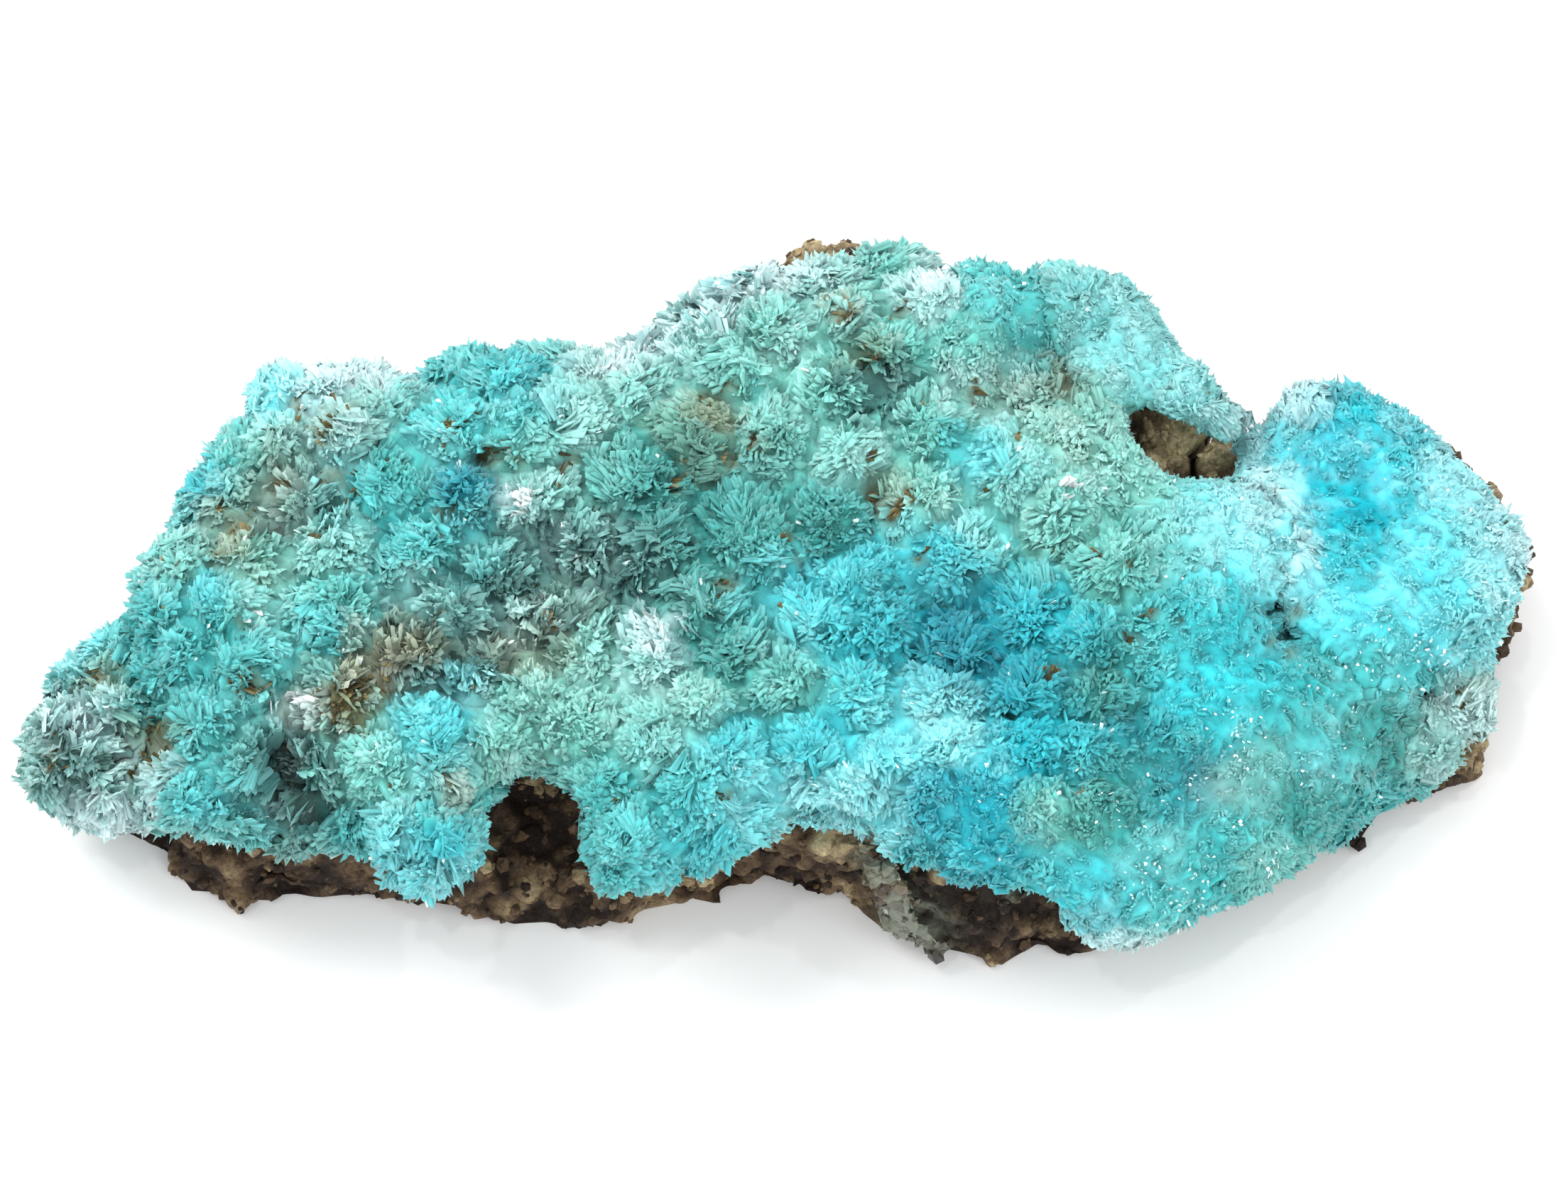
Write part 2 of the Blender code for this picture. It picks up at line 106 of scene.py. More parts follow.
WHITE_PLATE_AND_GLINT = (0.88, 1.0, 1.0)
RUST_TINTS = [(0.12, 0.092, 0.034), (0.07, 0.058, 0.024), (0.04, 0.038, 0.018), (0.2, 0.17, 0.08)]
PALE_FLECK = (0.3, 0.84, 0.93)

# Places on the face are (u, v, reach) or (u, v, reach along u, reach along v). First, where each tint lies:
TINT_PLACES = {
    "mint": [
        (-28, 2, 3, 2.5), (-27, -11, 3, 3), (-24, -12.5, 2.4, 2), (-13, 7.5, 2.5, 2), (-12, 12, 2.5, 3),
        (-9, -8, 5, 3), (3, 10.5, 3, 3), (5, 20, 3.5, 1.6), (0, 13, 4.5, 3.5), (11, 17, 2.5, 2),
        (7, 9, 2, 2), (18, 6, 3, 2.5), (18, 2, 3, 2), (-37.5, 3, 2, 2.5), (-33.5, 9, 2, 2), (17, -14, 3, 2),
        (21, 3.5, 3, 2.5), (30, -17, 2.5, 2), (-4, 15, 3, 2), (0, -5, 2.5, 2),
    ],
    "pale_mint": [
        (-31, -1, 2, 1.8), (-16, -8.5, 3, 2.2), (-13.5, -6, 4, 2), (16, 9.5, 3, 2.5), (20, 9.5, 3, 3),
        (11, 6, 3, 2), (-32.5, 1, 2, 1.5), (-6, -6, 3, 1.6), (-1, 14.6, 2.4, 1.8), (0, 13, 3, 2.4),
    ],
    "aqua": [
        (-28, 8.5, 2, 1.6), (-26, 5, 3, 3), (-33, -2.5, 2.5, 1.6), (-20, 3, 3, 2.5),
        (-22.5, -9.5, 2.5, 2.5), (-8, -12, 4, 3), (24, 0.5, 3, 2.5), (23, -15, 2.5, 2.5),
        (25, -18.5, 3.5, 1.5), (33, -7, 3, 3), (35, -3.4, 3, 1.6), (40.5, -5.2, 2, 1), (-29, -3, 2.5, 1.8),
        (-38.5, -2, 2.5, 2.5), (-36.5, -5.6, 2.8, 2.6), (-35.6, -11.6, 2.4, 1.8), (36, -13, 3, 2),
        (-26, -15, 2, 1.5), (13, 18, 2.8, 2.2), (27, -15, 3.5, 3), (-20, 13, 3.2, 2.6),
        (-10, -16.6, 2, 1.4),
    ],
    "bright_aqua": [
        (27.5, -3, 3.5, 3.5), (24.5, -5.5, 2.2, 1.8),
    ],
    "azure": [
        (11, -13.8, 3.4, 2.6), (9, -12.6, 2.2, 1.6), (13.4, -14.6, 2.2, 1.6),
    ],
    "sky_ice": [
        (41, 1.6, 2.6, 2.6), (36, -1, 3, 1.8), (33, 0, 2, 1.6), (39.5, -3.4, 2.4, 1.2), (39.5, -1.2, 3, 2),
    ],
    "turquoise": [
        (15.5, -8, 3, 2.5), (16, -1, 2.5, 2.5), (35.4, 9.6, 4.2, 3.6), (34, 11.6, 3, 2), (36.4, 5, 3.8, 4),
        (34.6, 7, 3, 3),
    ],
    "sky": [
        (-16, 13, 2.5, 2.2), (-20, -6, 3.4, 3), (-22, -16, 3, 2.6), (-35.4, -12.6, 1.5, 1.1),
        (-35, 1, 1.6, 1.2), (-3, -8.5, 3, 2), (-6, -15.5, 3, 2), (3, 1, 4, 2), (5, -3, 4, 2.5),
        (12, 8.5, 2, 2), (3, -8.5, 4, 2), (37.5, 2.5, 3, 2), (19, -18, 3, 2), (15, -16, 2, 1.6),
        (-1.5, 12.8, 1, 1), (-36, 7, 1.6, 2), (9, 3, 2.4, 2),
    ],
    "cyan_ice": [
        (28, 4, 3.4, 2.8), (9, -8.5, 4, 2), (4, -12, 4, 2), (-31, 12.6, 2.4, 2), (-44.5, -3.6, 2.2, 1.8),
        (-2, -12.5, 3, 2), (34, -10, 2, 1.5), (44.5, 0, 1.5, 3), (-21, -17.5, 2.5, 1.2),
        (-22.6, -15.4, 1.8, 1.6), (43.5, -1.8, 2, 2.4), (30.5, 2.6, 1.4, 2), (43.4, 3.4, 1.8, 3),
    ],
    "frost": [
        (20, 17.5, 2.2, 3), (23, 15, 2.5, 2.5), (25.8, 12, 2.2, 2.2), (28, 9.4, 1.6, 1.6),
    ],
    # Rim ice is partly the pale edges of the lobe and the dome and partly painted light where those rims
    # shine.
    "rim_ice": [
        (31.2, 3.4, 0.8, 2.8), (32, 6.4, 1.2, 2), (41.4, 8.2, 1.4, 2.2), (43.4, 5.8, 1.6, 2.2),
        (45.4, 2.6, 1.4, 2.6), (38.6, 11.4, 1.2, 1),
    ],
    "white_ice": [
        (44.4, 6.4, 0.8, 1.2), (46.6, 2.4, 0.8, 1.6), (29.6, 6.6, 0.8, 0.5), (30.6, 5.6, 0.7, 0.6),
        (31.2, 4.6, 0.8, 1.1), (31.6, 3.2, 0.9, 1.1), (31.6, 2, 0.8, 1.1), (28.8, 4.6, 1.2, 1),
        (-27.6, 13.9, 3.6, 0.8), (-6.5, 18.2, 3.5, 1.4), (-9.5, 15.6, 1.6, 1.2), (0, 20.4, 4, 0.9),
        (-43.5, -8, 2.6, 1.8), (-41.5, -13.6, 2.4, 1.4), (-8, -1.8, 1.1, 1), (-16.4, 6.4, 1.2, 1),
        (9, 19.6, 1.2, 1), (43, -7, 1.7, 1.7), (40.4, -10.6, 0.9, 0.8), (32.2, 13, 1.4, 1),
        (29.4, 9.6, 1.2, 1.8), (-29.5, -6.8, 1.5, 1.2), (20, -21.2, 2, 0.8),
    ],
    "deep_teal": [
        (11.8, -1.8, 4, 3), (12.6, -3, 3.6, 2.8), (13, -4.6, 3.2, 2.4), (9.5, -4.6, 2.4, 1.4),
        (35.4, 7, 1.8, 2.6), (36.6, 4, 1.4, 1.2), (-19, 7.6, 1.6, 1.2), (25, -11.5, 2.4, 2),
        (21.5, -8.5, 2.2, 1.6),
    ],
    # Slate is partly the crust's grey and partly painted shade: in the left cluster and by the lobe's top it
    # darkens where shadow falls between needles.
    "slate": [
        (-9, 2.8, 2.2, 2.6), (-15, 3.6, 3.2, 1.6), (-31, -11.5, 2, 2.6), (-43.5, -12, 1.8, 1.2),
        (-43.6, -10.4, 2.4, 1.4), (30.9, -1.3, 0.9, 0.9), (29.8, 10.4, 1.6, 1.4), (32.4, 10.8, 0.9, 1.2),
        (-29, -14.5, 2, 1.2), (5.6, 13, 1.8, 1.6),
    ],
    "clear_grey": [
        (-14.5, 1, 4.5, 2.2), (-18, -1.4, 4, 1.4), (-30.5, 6, 2.4, 2.2), (-46.2, -9, 1.8, 2.4),
        (-29, 10.5, 3, 2), (-22.5, 0.8, 2, 1.6), (13.5, 13.2, 3, 1.5), (-41, -10.5, 2, 2),
        (40, -10.4, 2, 1.6), (42.4, -7.6, 2, 1.8), (27, -12, 1.8, 1.6), (-12, 14, 2, 1.4),
    ],
    "beige": [
        (-24, -4, 2.4, 1.8), (-20, -12, 1.3, 1), (-3.6, 11, 1, 0.6), (3.6, 18, 0.9, 0.6),
        (-17, -3.4, 3, 1.2), (42.4, -5.6, 1.2, 0.8), (43.4, -9.4, 0.9, 0.8),
    ],
    "olive": [
        (-27.4, -6.4, 2, 1), (-38.6, -8.8, 1.4, 1.4), (-31.2, 7, 1.6, 2.2), (-29.4, 10.8, 1.8, 1),
        (-33.4, 3.4, 1.4, 1.4), (-22.5, -3, 2.2, 1), (-16.5, -2.8, 2.2, 0.9), (14.5, 12.9, 2.2, 1),
        (-4.6, 11.8, 1.4, 1), (-2.6, 8.9, 1.4, 1), (6.6, 6.6, 1.2, 1.2), (-36, 5.2, 1.2, 1.2),
        (5, 15.2, 1.4, 1.2), (-18.4, 8.4, 1, 0.8), (17.6, 13.6, 2, 1.1), (-42.4, -5, 1.2, 0.9),
    ],
    "teal": [
        (-5, 5, 4, 3), (-6, 6.6, 3.6, 2.6), (-3, 8, 2.6, 2), (-4, -3.6, 3, 2), (15, 15.6, 2.5, 2),
        (2, 5, 2.6, 2), (22, -10.5, 3, 2.2), (20, -5, 3, 2.4), (36.5, -9.5, 2.4, 2), (34, -12.5, 2.4, 2),
        (-34, -4.2, 1.8, 1.4), (-37.2, -7.2, 1.6, 1.6), (-25.6, 8.6, 1.4, 1.2),
    ],
}

# Rust-stained gaps between the needles.
RUST_PLACES = [
    (-34, 4.6, 0.7), (-35, 5.6, 0.5), (-37.5, 2, 0.5), (-35, 2.8, 0.5), (-32.5, -5.4, 1),
    (-33.5, -1.5, 0.5), (-28.6, 10.6, 0.9), (-30.6, 12.2, 0.7), (-32.6, 10.7, 0.5), (-27, 12, 0.7),
    (-31.2, 6.8, 0.8), (-28, 7.8, 0.6), (-26.6, 7, 0.4), (-21, 10.6, 0.6), (-21.2, 5.5, 0.6),
    (-21.2, 3.8, 0.4), (-18, 9, 0.6), (-16.4, 8.7, 0.5), (-29, 3.8, 0.5), (-38.4, -8.2, 0.9),
    (-39, -9.8, 0.7), (-27.2, -6.5, 1.3), (-25.2, -5.6, 0.8), (-45.6, -10.2, 0.6), (-45.2, -8.4, 0.4),
    (-42.5, -4.7, 0.7), (-40.2, -11, 0.5), (-20.8, -0.8, 0.4), (-13, 8.8, 0.5), (-13.6, 7.3, 0.4),
    (-14, -2, 0.5), (-6.5, 7, 0.6), (-4.6, 12.2, 0.7), (-3.4, 13.2, 0.5), (-3.2, 8.6, 0.5),
    (-1.8, 9.3, 0.6), (-1, 10.2, 0.4), (-3.5, 1, 0.6), (-3, -3.3, 0.5), (-3.3, -12, 0.5), (0.3, 4, 0.4),
    (1, 2.3, 0.4), (6, 8.8, 0.5), (5.8, 6.9, 0.6), (6.5, 5.2, 0.6), (8, 6.2, 0.5), (8.4, 2.3, 0.5),
    (3.6, 18, 0.9), (5.5, 14.8, 0.7), (8.6, 12.8, 0.4), (7.3, 17.9, 0.5), (14.6, 10.5, 0.4),
    (12, 12.8, 0.5), (18.5, 3, 0.5), (21, 1.6, 0.6), (21.2, -2.6, 0.5), (22.5, -1, 0.5), (24.1, -1.4, 0.3),
    (13.9, -6.2, 0.6), (16.6, -4.4, 0.5), (31.2, -3.4, 0.5), (31.9, -1, 0.5), (30, -2.8, 0.5),
    (-20.4, -11.2, 0.6), (-10.8, -12.2, 0.4), (17.6, 13.4, 0.8), (42.3, -6, 0.5), (43.5, -9.4, 0.7),
    (-7.2, 2.8, 0.4),
]

# Gaps that reach down between the needles: the crust is sunk there and darkened with painted shade.
SHADED_GAP_PLACES = [
    (30.4, -0.8, 0.6, 0.35), (31.2, -2.2, 0.6, 0.4), (-18.6, 8.8, 0.6, 0.4), (5.9, 6.4, 0.4, 0.9),
    (-13.2, 11, 0.3, 0.7), (-6.9, 7.4, 0.5, 0.4), (19, 2.6, 0.6, 0.4), (-33, -5.8, 0.6, 0.5),
    (-30.4, -10.4, 1.2, 1.8), (-28.8, -13, 1, 1), (21.6, 1.8, 0.3, 0.5), (13.6, -6.4, 0.5, 0.4),
]

# Where needles beside bare stone are kept short.
SHORT_PLACES = [(-15.2, -13.8, 3.4, 3), (15.4, -18.6, 2.2, 1.2), (24.6, 9.4, 2.6, 1.8)]

# Places of fine, short, close-set needles, and of coarse clear ones.
FINE_PLACES = [
    (37, 4, 9, 10), (28, 3, 4.5, 5), (28, -5, 5, 4), (34, -9, 6, 5), (22, 15, 5, 6), (26, -14, 5, 6),
    (20, -18, 4, 4), (12, -14, 3.5, 3), (13, 18, 3, 3),
]
CLEAR_PLACES = [
    (-14, 1.6, 6.5, 3.6), (-19, -1.6, 5, 2.6), (-43.5, -9, 4, 4.5), (-30.8, -11, 2.8, 4), (-24, -4, 3, 2),
    (5.5, 13.5, 3, 2.4), (-30, 6, 3, 3), (-6, 17.6, 4, 2),
]

# Painted glints: places thick with small needles painted white for glints, and places of broad white plates.
SPARKLE_PLACES = [
    (27.5, -7, 2.2), (25, -11.5, 1.6), (21, -13, 1.8), (25, -18, 2.6), (22, -16.5, 1.6), (30, -16, 1.6),
    (36, -3, 2.4), (40, -4, 2.2), (33, -6, 1.8), (28.5, -9, 1.5), (19, -9.5, 1.8), (10, 19, 2), (-6, 17, 2),
    (-30, 12.8, 1.6), (-33.5, -2, 1.5), (-21, -16.6, 1.4), (-43, -8, 2.4), (13, -4.5, 1.6), (44.6, 5, 1.4),
    (45, 0, 2), (-36, -5, 1.2), (-25, -9, 1.6), (31.5, 4, 1),
]
PLATE_PLACES = [
    (-16.5, 6.5, 0.7), (-8, -1.8, 0.7), (-30.8, -6.9, 0.5), (-31.5, -1.2, 0.4), (17.2, 6.2, 0.4),
]

# Where pale flecks mottle the deep blue, and where the crust is so fine that it looks smooth.
MOTTLED_PLACES = [(36, 8, 4.5, 5), (36.5, 3, 4, 2.6), (37.5, -4.4, 2.6, 1.4)]
SMOOTH_PLACES = [(28, 3.4, 4, 3.6), (37, 4, 9, 9.5), (22.5, 15.5, 4, 5), (26.5, -3, 3.6, 3)]


def face_places(points):
    """Where points of the object, in millimetres, lie on its face."""
    u = points[:, 0] + MIDDLE[0]
    v = (points[:, 1] + MIDDLE[1]) * math.cos(FACE_LEAN) + (points[:, 2] - FACE_HEIGHT) * math.sin(FACE_LEAN)
    return np.column_stack((u, v))


def unit(vectors):
    return vectors / np.maximum(np.linalg.norm(vectors, axis=1, keepdims=True), 1e-9)


def cube_keys(cubes):
    """The row of the random tables that belongs to each cube."""
    steps = cubes * HASH_STEPS
    return (steps[:, 0] ^ steps[:, 1] ^ steps[:, 2]) % HASH_SIZE


def cubes_around(cell):
    """The 27 cubes around each point in turn, with their rows of the random tables."""
    low = np.floor(cell).astype(np.int64)
    for step in np.ndindex(3, 3, 3):
        cube = low + np.array(step) - 1
        yield cube, cube_keys(cube)


def packed_facets(points, size, seed):
    """Height, in grains, of packed crystal ends: space is parted among one random centre in every cube of the
    given size, and each part gets a height and a slope of its own, with a groove where parts meet."""
    chance = np.random.default_rng(seed)
    centres = chance.random((HASH_SIZE, 3))
    slopes = chance.normal(0, FACET_SLOPE, (HASH_SIZE, 3))
    heights = chance.uniform(-FACET_HEIGHT, FACET_HEIGHT, HASH_SIZE)
    cell = points / size
    nearest = np.full(len(points), FAR_AWAY)
    second = np.full(len(points), FAR_AWAY)
    height = np.zeros(len(points))
    for cube, key in cubes_around(cell):
        off = cell - cube - centres[key]
        away = np.linalg.norm(off, axis=1)
        closer = away < nearest
        second = np.where(closer, nearest, np.minimum(second, away))
        height = np.where(closer, heights[key] + np.sum(off * slopes[key], axis=1), height)
        nearest = np.where(closer, away, nearest)
    return height - GROOVE_DEPTH * np.exp(-(((second - nearest) / GROOVE_WIDTH) ** 2))


def soft_noise(points, size, seed):
    """Smooth noise from 0 to 1: random values at the corners of cubes of the given size, blended across."""
    table = np.random.default_rng(seed).random(HASH_SIZE)
    cell = points / size
    low = np.floor(cell)
    share = cell - low
    share = share * share * (3 - 2 * share)
    low = low.astype(np.int64)
    total = np.zeros(len(points))
    for corner in CUBE_CORNERS:
        total += table[cube_keys(low + corner)] * np.prod(np.where(corner, share, 1 - share), axis=1)
    return total


def grain_distance(points, size, seed):
    """Distance, in grains, to the nearest of one random centre in every cube of the given size."""
    centres = np.random.default_rng(seed).random((HASH_SIZE, 3))
    cell = points / size
    nearest = np.full(len(points), FAR_AWAY)
    for cube, key in cubes_around(cell):
        nearest = np.minimum(nearest, np.linalg.norm(cube + centres[key] - cell, axis=1))
    return nearest


def nearness(face, places):
    """How near each face place is to each given ellipse's middle: 1 there, falling as a bell to 0."""
    places = np.array(places)
    middles = places[:, :2]
    reaches = places[:, 2:] if places.shape[1] > 3 else places[:, [2, 2]]
    away = (face[:, None, :] - middles[None]) / reaches[None]
    return np.exp(-np.sum(away**2, axis=2))


def wander(points, seed, by):
    """Face places pushed about by soft noise, so that what follows them has ragged edges."""
    face = face_places(points)
    for axis in range(2):
        broad = soft_noise(points, BROAD_WANDER, seed + axis) - 0.5
        narrow = soft_noise(points, NARROW_WANDER, seed + 7 + axis) - 0.5
        face[:, axis] += (broad * 2 + narrow) * by
    return face


def zone_share(face, places, gain):
    """How far each face place belongs to any of the places, from 0 to 1."""
    return np.clip(np.sum(nearness(face, places), axis=1) * gain, 0, 1)


def crust_tints(points):
    """Colour of the crust at each point: the tints of the places near it, by their nearness, with pale flecks
    in the mottled places, and made deeper or paler by noise."""
    face = wander(points, TINT_SEED, TINT_WANDER)
    colour = np.zeros((len(points), 3)) + np.array(TINTS[BASE_TINT]) * BASE_WEIGHT
    weight = np.full(len(points), BASE_WEIGHT)
    for name, places in TINT_PLACES.items():
        near = np.sum(nearness(face, places) ** 1.5, axis=1)
        colour += near[:, None] * np.array(TINTS[name])
        weight += near
    colour /= weight[:, None]
    flecks = soft_noise(points, 1.3, TINT_SEED + 22) + 0.8 * soft_noise(points, 0.5, TINT_SEED + 23) - 0.92
    share = np.clip(flecks * 4, 0, 1) * zone_share(face, MOTTLED_PLACES, 1.2)
    colour += (np.array(PALE_FLECK) - colour) * FLECK_SHARE * share[:, None]
    depth = soft_noise(points, 1.5, TINT_SEED + 20) + 0.6 * soft_noise(points, 0.7, TINT_SEED + 21) - 0.8
    return CRUST_BRIGHTNESS * colour ** (1.08 + 0.7 * depth)[:, None]


def rust_share(points):
    """How rust-stained the crust is at each point, from 0 to 1."""
    face = wander(points, 41, 0.25)
    return np.clip(np.sum(nearness(face, RUST_PLACES) ** 1.25, axis=1) * 1.4, 0, 1)


def gap_depth_and_shade(points):
    """How deep in a gap each point is, from 0 to 1: the crust is sunk there and darkened as painted shade."""
    return zone_share(wander(points, 45, 0.15), SHADED_GAP_PLACES, 1.3)


# Meshes

# Points of a frame mesh within one of these steps are the same point.
STEPS_A_METRE = 1e7


def new_object(name, data):
    """An object in the scene, for a mesh, a light or a camera."""
    obj = bpy.data.objects.new(name, data)
    bpy.context.scene.collection.objects.link(obj)
    return obj


def add_piece(name, node, mesh, material):
    """Puts a finished mesh into the scene as a piece that stands for a node of the frame."""
    obj = new_object(name, mesh)
    mesh.materials.clear()
    mesh.materials.append(material)
    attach(obj, "root")
    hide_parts(node)


def merged_copy(node):
    """A node's mesh as one skin, points at one place joined: its places, in millimetres, and triangles."""
    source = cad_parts[node].data
    places = np.empty(len(source.vertices) * 3)
    source.vertices.foreach_get("co", places)
    places = places.reshape(-1, 3)
    corners = np.empty(len(source.loops), dtype=np.int64)
    source.loops.foreach_get("vertex_index", corners)
    rounded = np.round(places * STEPS_A_METRE).astype(np.int64)
    _, first, same = np.unique(rounded, axis=0, return_index=True, return_inverse=True)
    triangles = same.reshape(-1)[corners].reshape(-1, 3)
    return places[first] / MM, triangles


# How a triangle a, b, c is parted when its first 0, 1, 2 or 3 edges are cut, by number of cuts. Corners 0 to
# 2 are its own, and 3 to 5 are the middles of its edges ab, bc and ca.
CUT_PATTERNS = {
    0: [(0, 1, 2)],
    1: [(0, 3, 2), (3, 1, 2)],
    2: [(0, 3, 4), (3, 1, 4), (0, 4, 2)],
    3: [(0, 3, 5), (3, 1, 4), (5, 4, 2), (3, 4, 5)],
}


def split_triangles(places, triangles, chosen=slice(None)):
    """Cuts each chosen triangle into four at its edges' middles. A triangle beside one is cut at the middles
    that they share, so that the skin stays closed."""
    edges = np.sort(triangles[:, [0, 1, 1, 2, 2, 0]].reshape(-1, 2), axis=1)
    pairs, which = np.unique(edges, axis=0, return_inverse=True)
    which = which.reshape(-1, 3)
    cut = np.zeros(len(pairs), dtype=bool)
    cut[which[chosen]] = True
    middle_of = np.full(len(pairs), -1)
    middle_of[cut] = len(places) + np.arange(cut.sum())
    is_cut = cut[which]
    cuts = is_cut.sum(axis=1)
    turn = np.select([cuts == 1, cuts == 2], [is_cut.argmax(axis=1), is_cut.argmin(axis=1) + 1], 0)
    order = (turn[:, None] + np.arange(3)) % 3
    corners = np.hstack((
        np.take_along_axis(triangles, order, axis=1), np.take_along_axis(middle_of[which], order, axis=1),
    ))
    faces = [
        corners[cuts == count][:, np.array(pattern)].reshape(-1, 3)
        for count, pattern in CUT_PATTERNS.items()
    ]
    return np.vstack((places, places[pairs[cut]].mean(axis=1))), np.vstack(faces)


def crosses(places, triangles):
    """Each triangle's outward normal, as long as twice its area."""
    a, b, c = (places[triangles[:, corner]] for corner in range(3))
    return np.cross(b - a, c - a)


def skin_normals(places, triangles):
    """Outward direction at each point: the sum of its triangles' normals, by their areas."""
    across = crosses(places, triangles)
    normals = np.zeros_like(places)
    for corner in range(3):
        np.add.at(normals, triangles[:, corner], across)
    return unit(normals)


def relaxed(places, triangles, times):
    """Each point drawn halfway to the mean of its neighbours, as often as asked."""
    ends = np.vstack((triangles[:, [0, 1]], triangles[:, [1, 2]], triangles[:, [2, 0]]))
    count = np.bincount(ends[:, 0], minlength=len(places))[:, None]
    for _ in range(times):
        total = np.zeros_like(places)
        np.add.at(total, ends[:, 0], places[ends[:, 1]])
        places = (places + total / np.maximum(count, 1)) / 2
    return places


def make_mesh(name, places, faces, smooth, colours, dullness=None, normals=None):
    """A mesh from places in millimetres, with a colour and perhaps a dullness and a normal at each."""
    mesh = bpy.data.meshes.new(name)
    mesh.from_pydata(places * MM, [], faces)
    mesh.shade_smooth() if smooth else mesh.shade_flat()
    tint = mesh.attributes.new("tint", "FLOAT_COLOR", "POINT")
    tint.data.foreach_set("color", np.column_stack((colours, np.ones(len(colours)))).ravel())
    if dullness is not None:
        mesh.attributes.new("dullness", "FLOAT", "POINT").data.foreach_set("value", dullness)
    if normals is not None:
        own = mesh.attributes.new("custom_normal", "FLOAT_VECTOR", "POINT")
        own.data.foreach_set("vector", normals.ravel())
    mesh.validate()
    return mesh


# Needles

# Sprays: the usual distance between their middles, and the least share of it with what noise adds to that.
SPRAY_SPACING = 3.9
SPRAY_SPACINGS = (0.55, 0.9)
SPRAY_HEIGHT_CHANCE = 4
ROWS_AT_ONCE = 4000

# A crust looks at the stone where the stone lies within this reach of it.
STONE_REACH = 1.4
SKIN_CLEARANCE = 0.02


def clear_of(skins, starts, ways, reach):
    """Which lines, from each start along its way, meet none of the skins within reach."""
    return np.array([
        all(skin.ray_cast(Vector(start), Vector(way), reach)[0] is None for skin in skins)
        for start, way in zip(starts, ways)
    ])


def open_triangles(places, triangles, skin_of_stone):
    """Which triangles of a crust look out into the open, and not at the stone close by."""
    middles = places[triangles].mean(axis=1)
    facing = unit(crosses(places, triangles))
    return clear_of([skin_of_stone], middles + facing * SKIN_CLEARANCE, facing, STONE_REACH)


def scatter(places, triangles, normals, spacing, chance):
    """Random points on a skin, one for each square of the given spacing, with the skin's normal there."""
    areas = np.linalg.norm(crosses(places, triangles), axis=1) / 2
    count = int(areas.sum() / spacing**2)
    at = (np.arange(count) + chance.random(count)) / count * areas.sum()
    chosen = np.minimum(np.searchsorted(np.cumsum(areas), at), len(triangles) - 1)
    first, second = chance.random((2, count))
    fold = first + second > 1
    first[fold] = 1 - first[fold]
    second[fold] = 1 - second[fold]
    shares = np.column_stack((1 - first - second, first, second))[:, :, None]
    points = np.sum(places[triangles[chosen]] * shares, axis=1)
    outward = unit(np.sum(normals[triangles[chosen]] * shares, axis=1))
    return points, outward


def spray_middles(places, triangles, spacing, seed):
    """Middles of the sprays: the highest points of a skin that keep the spacing from each other."""
    normals = skin_normals(places, triangles)
    points, outward = scatter(places, triangles, normals, 0.7, np.random.default_rng(seed))
    left = np.ones(len(points), dtype=bool)
    height = points[:, 2] + soft_noise(points, 2.5, 5) * SPRAY_HEIGHT_CHANCE
    least, more = SPRAY_SPACINGS
    spacings = least + more * soft_noise(points, 3.0, 8)
    chosen = []
    while left.any():
        index = np.argmax(np.where(left, height, -np.inf))
        chosen.append(index)
        left &= np.linalg.norm(points - points[index], axis=1) > spacing * spacings[index]
    return points[chosen], outward[chosen]


def nearest_two(points, middles):
    """Index of the nearest middle, with the distances to it and to the next."""
    index = np.empty(len(points), dtype=np.int64)
    near = np.empty(len(points))
    second = np.empty(len(points))
    for start in range(0, len(points), ROWS_AT_ONCE):
        part = slice(start, start + ROWS_AT_ONCE)
        away = np.linalg.norm(points[part, None] - middles[None], axis=2)
        order = np.argpartition(away, 1, axis=1)[:, :2]
        both = np.take_along_axis(away, order, axis=1)
        first = np.argmin(both, axis=1)
        rows = np.arange(len(away))
        index[part] = order[rows, first]
        near[part] = both[rows, first]
        second[part] = both[rows, 1 - first]
    return index, near, second


# A needle: corners 0 to 2 are its root's, and 3 to 5 its tip's.
NEEDLE_TRIANGLES = np.array([
    (0, 1, 4), (0, 4, 3), (1, 2, 5), (1, 5, 4), (2, 0, 3), (2, 3, 5), (3, 4, 5), (2, 1, 0),
])
NEEDLE_SIDES = 3
NEEDLE_POINTS = 2 * NEEDLE_SIDES
SHEAF_NEEDLES = 3
SHEAVES_A_PIECE = 8200

# A needle's shape, as shares of its own width or length.
NEEDLE_THICKNESS = (0.3, 0.7)
NEEDLE_RADIUS = 0.66
ROOT_SHARE = 0.75
ROOT_SPACING = 0.3
TIP_SHARES = (0.5, 1.0)
TIP_SLANT = 0.5
FAN_CHANCE = 0.3
FAN_SHORTER = 0.12
LENGTH_LOSS = 0.2

# How far a needle's normals turn to the skin's, and at its tip to its own way.
SKIN_LIGHT = 0.65
TIP_LIGHT = 0.3


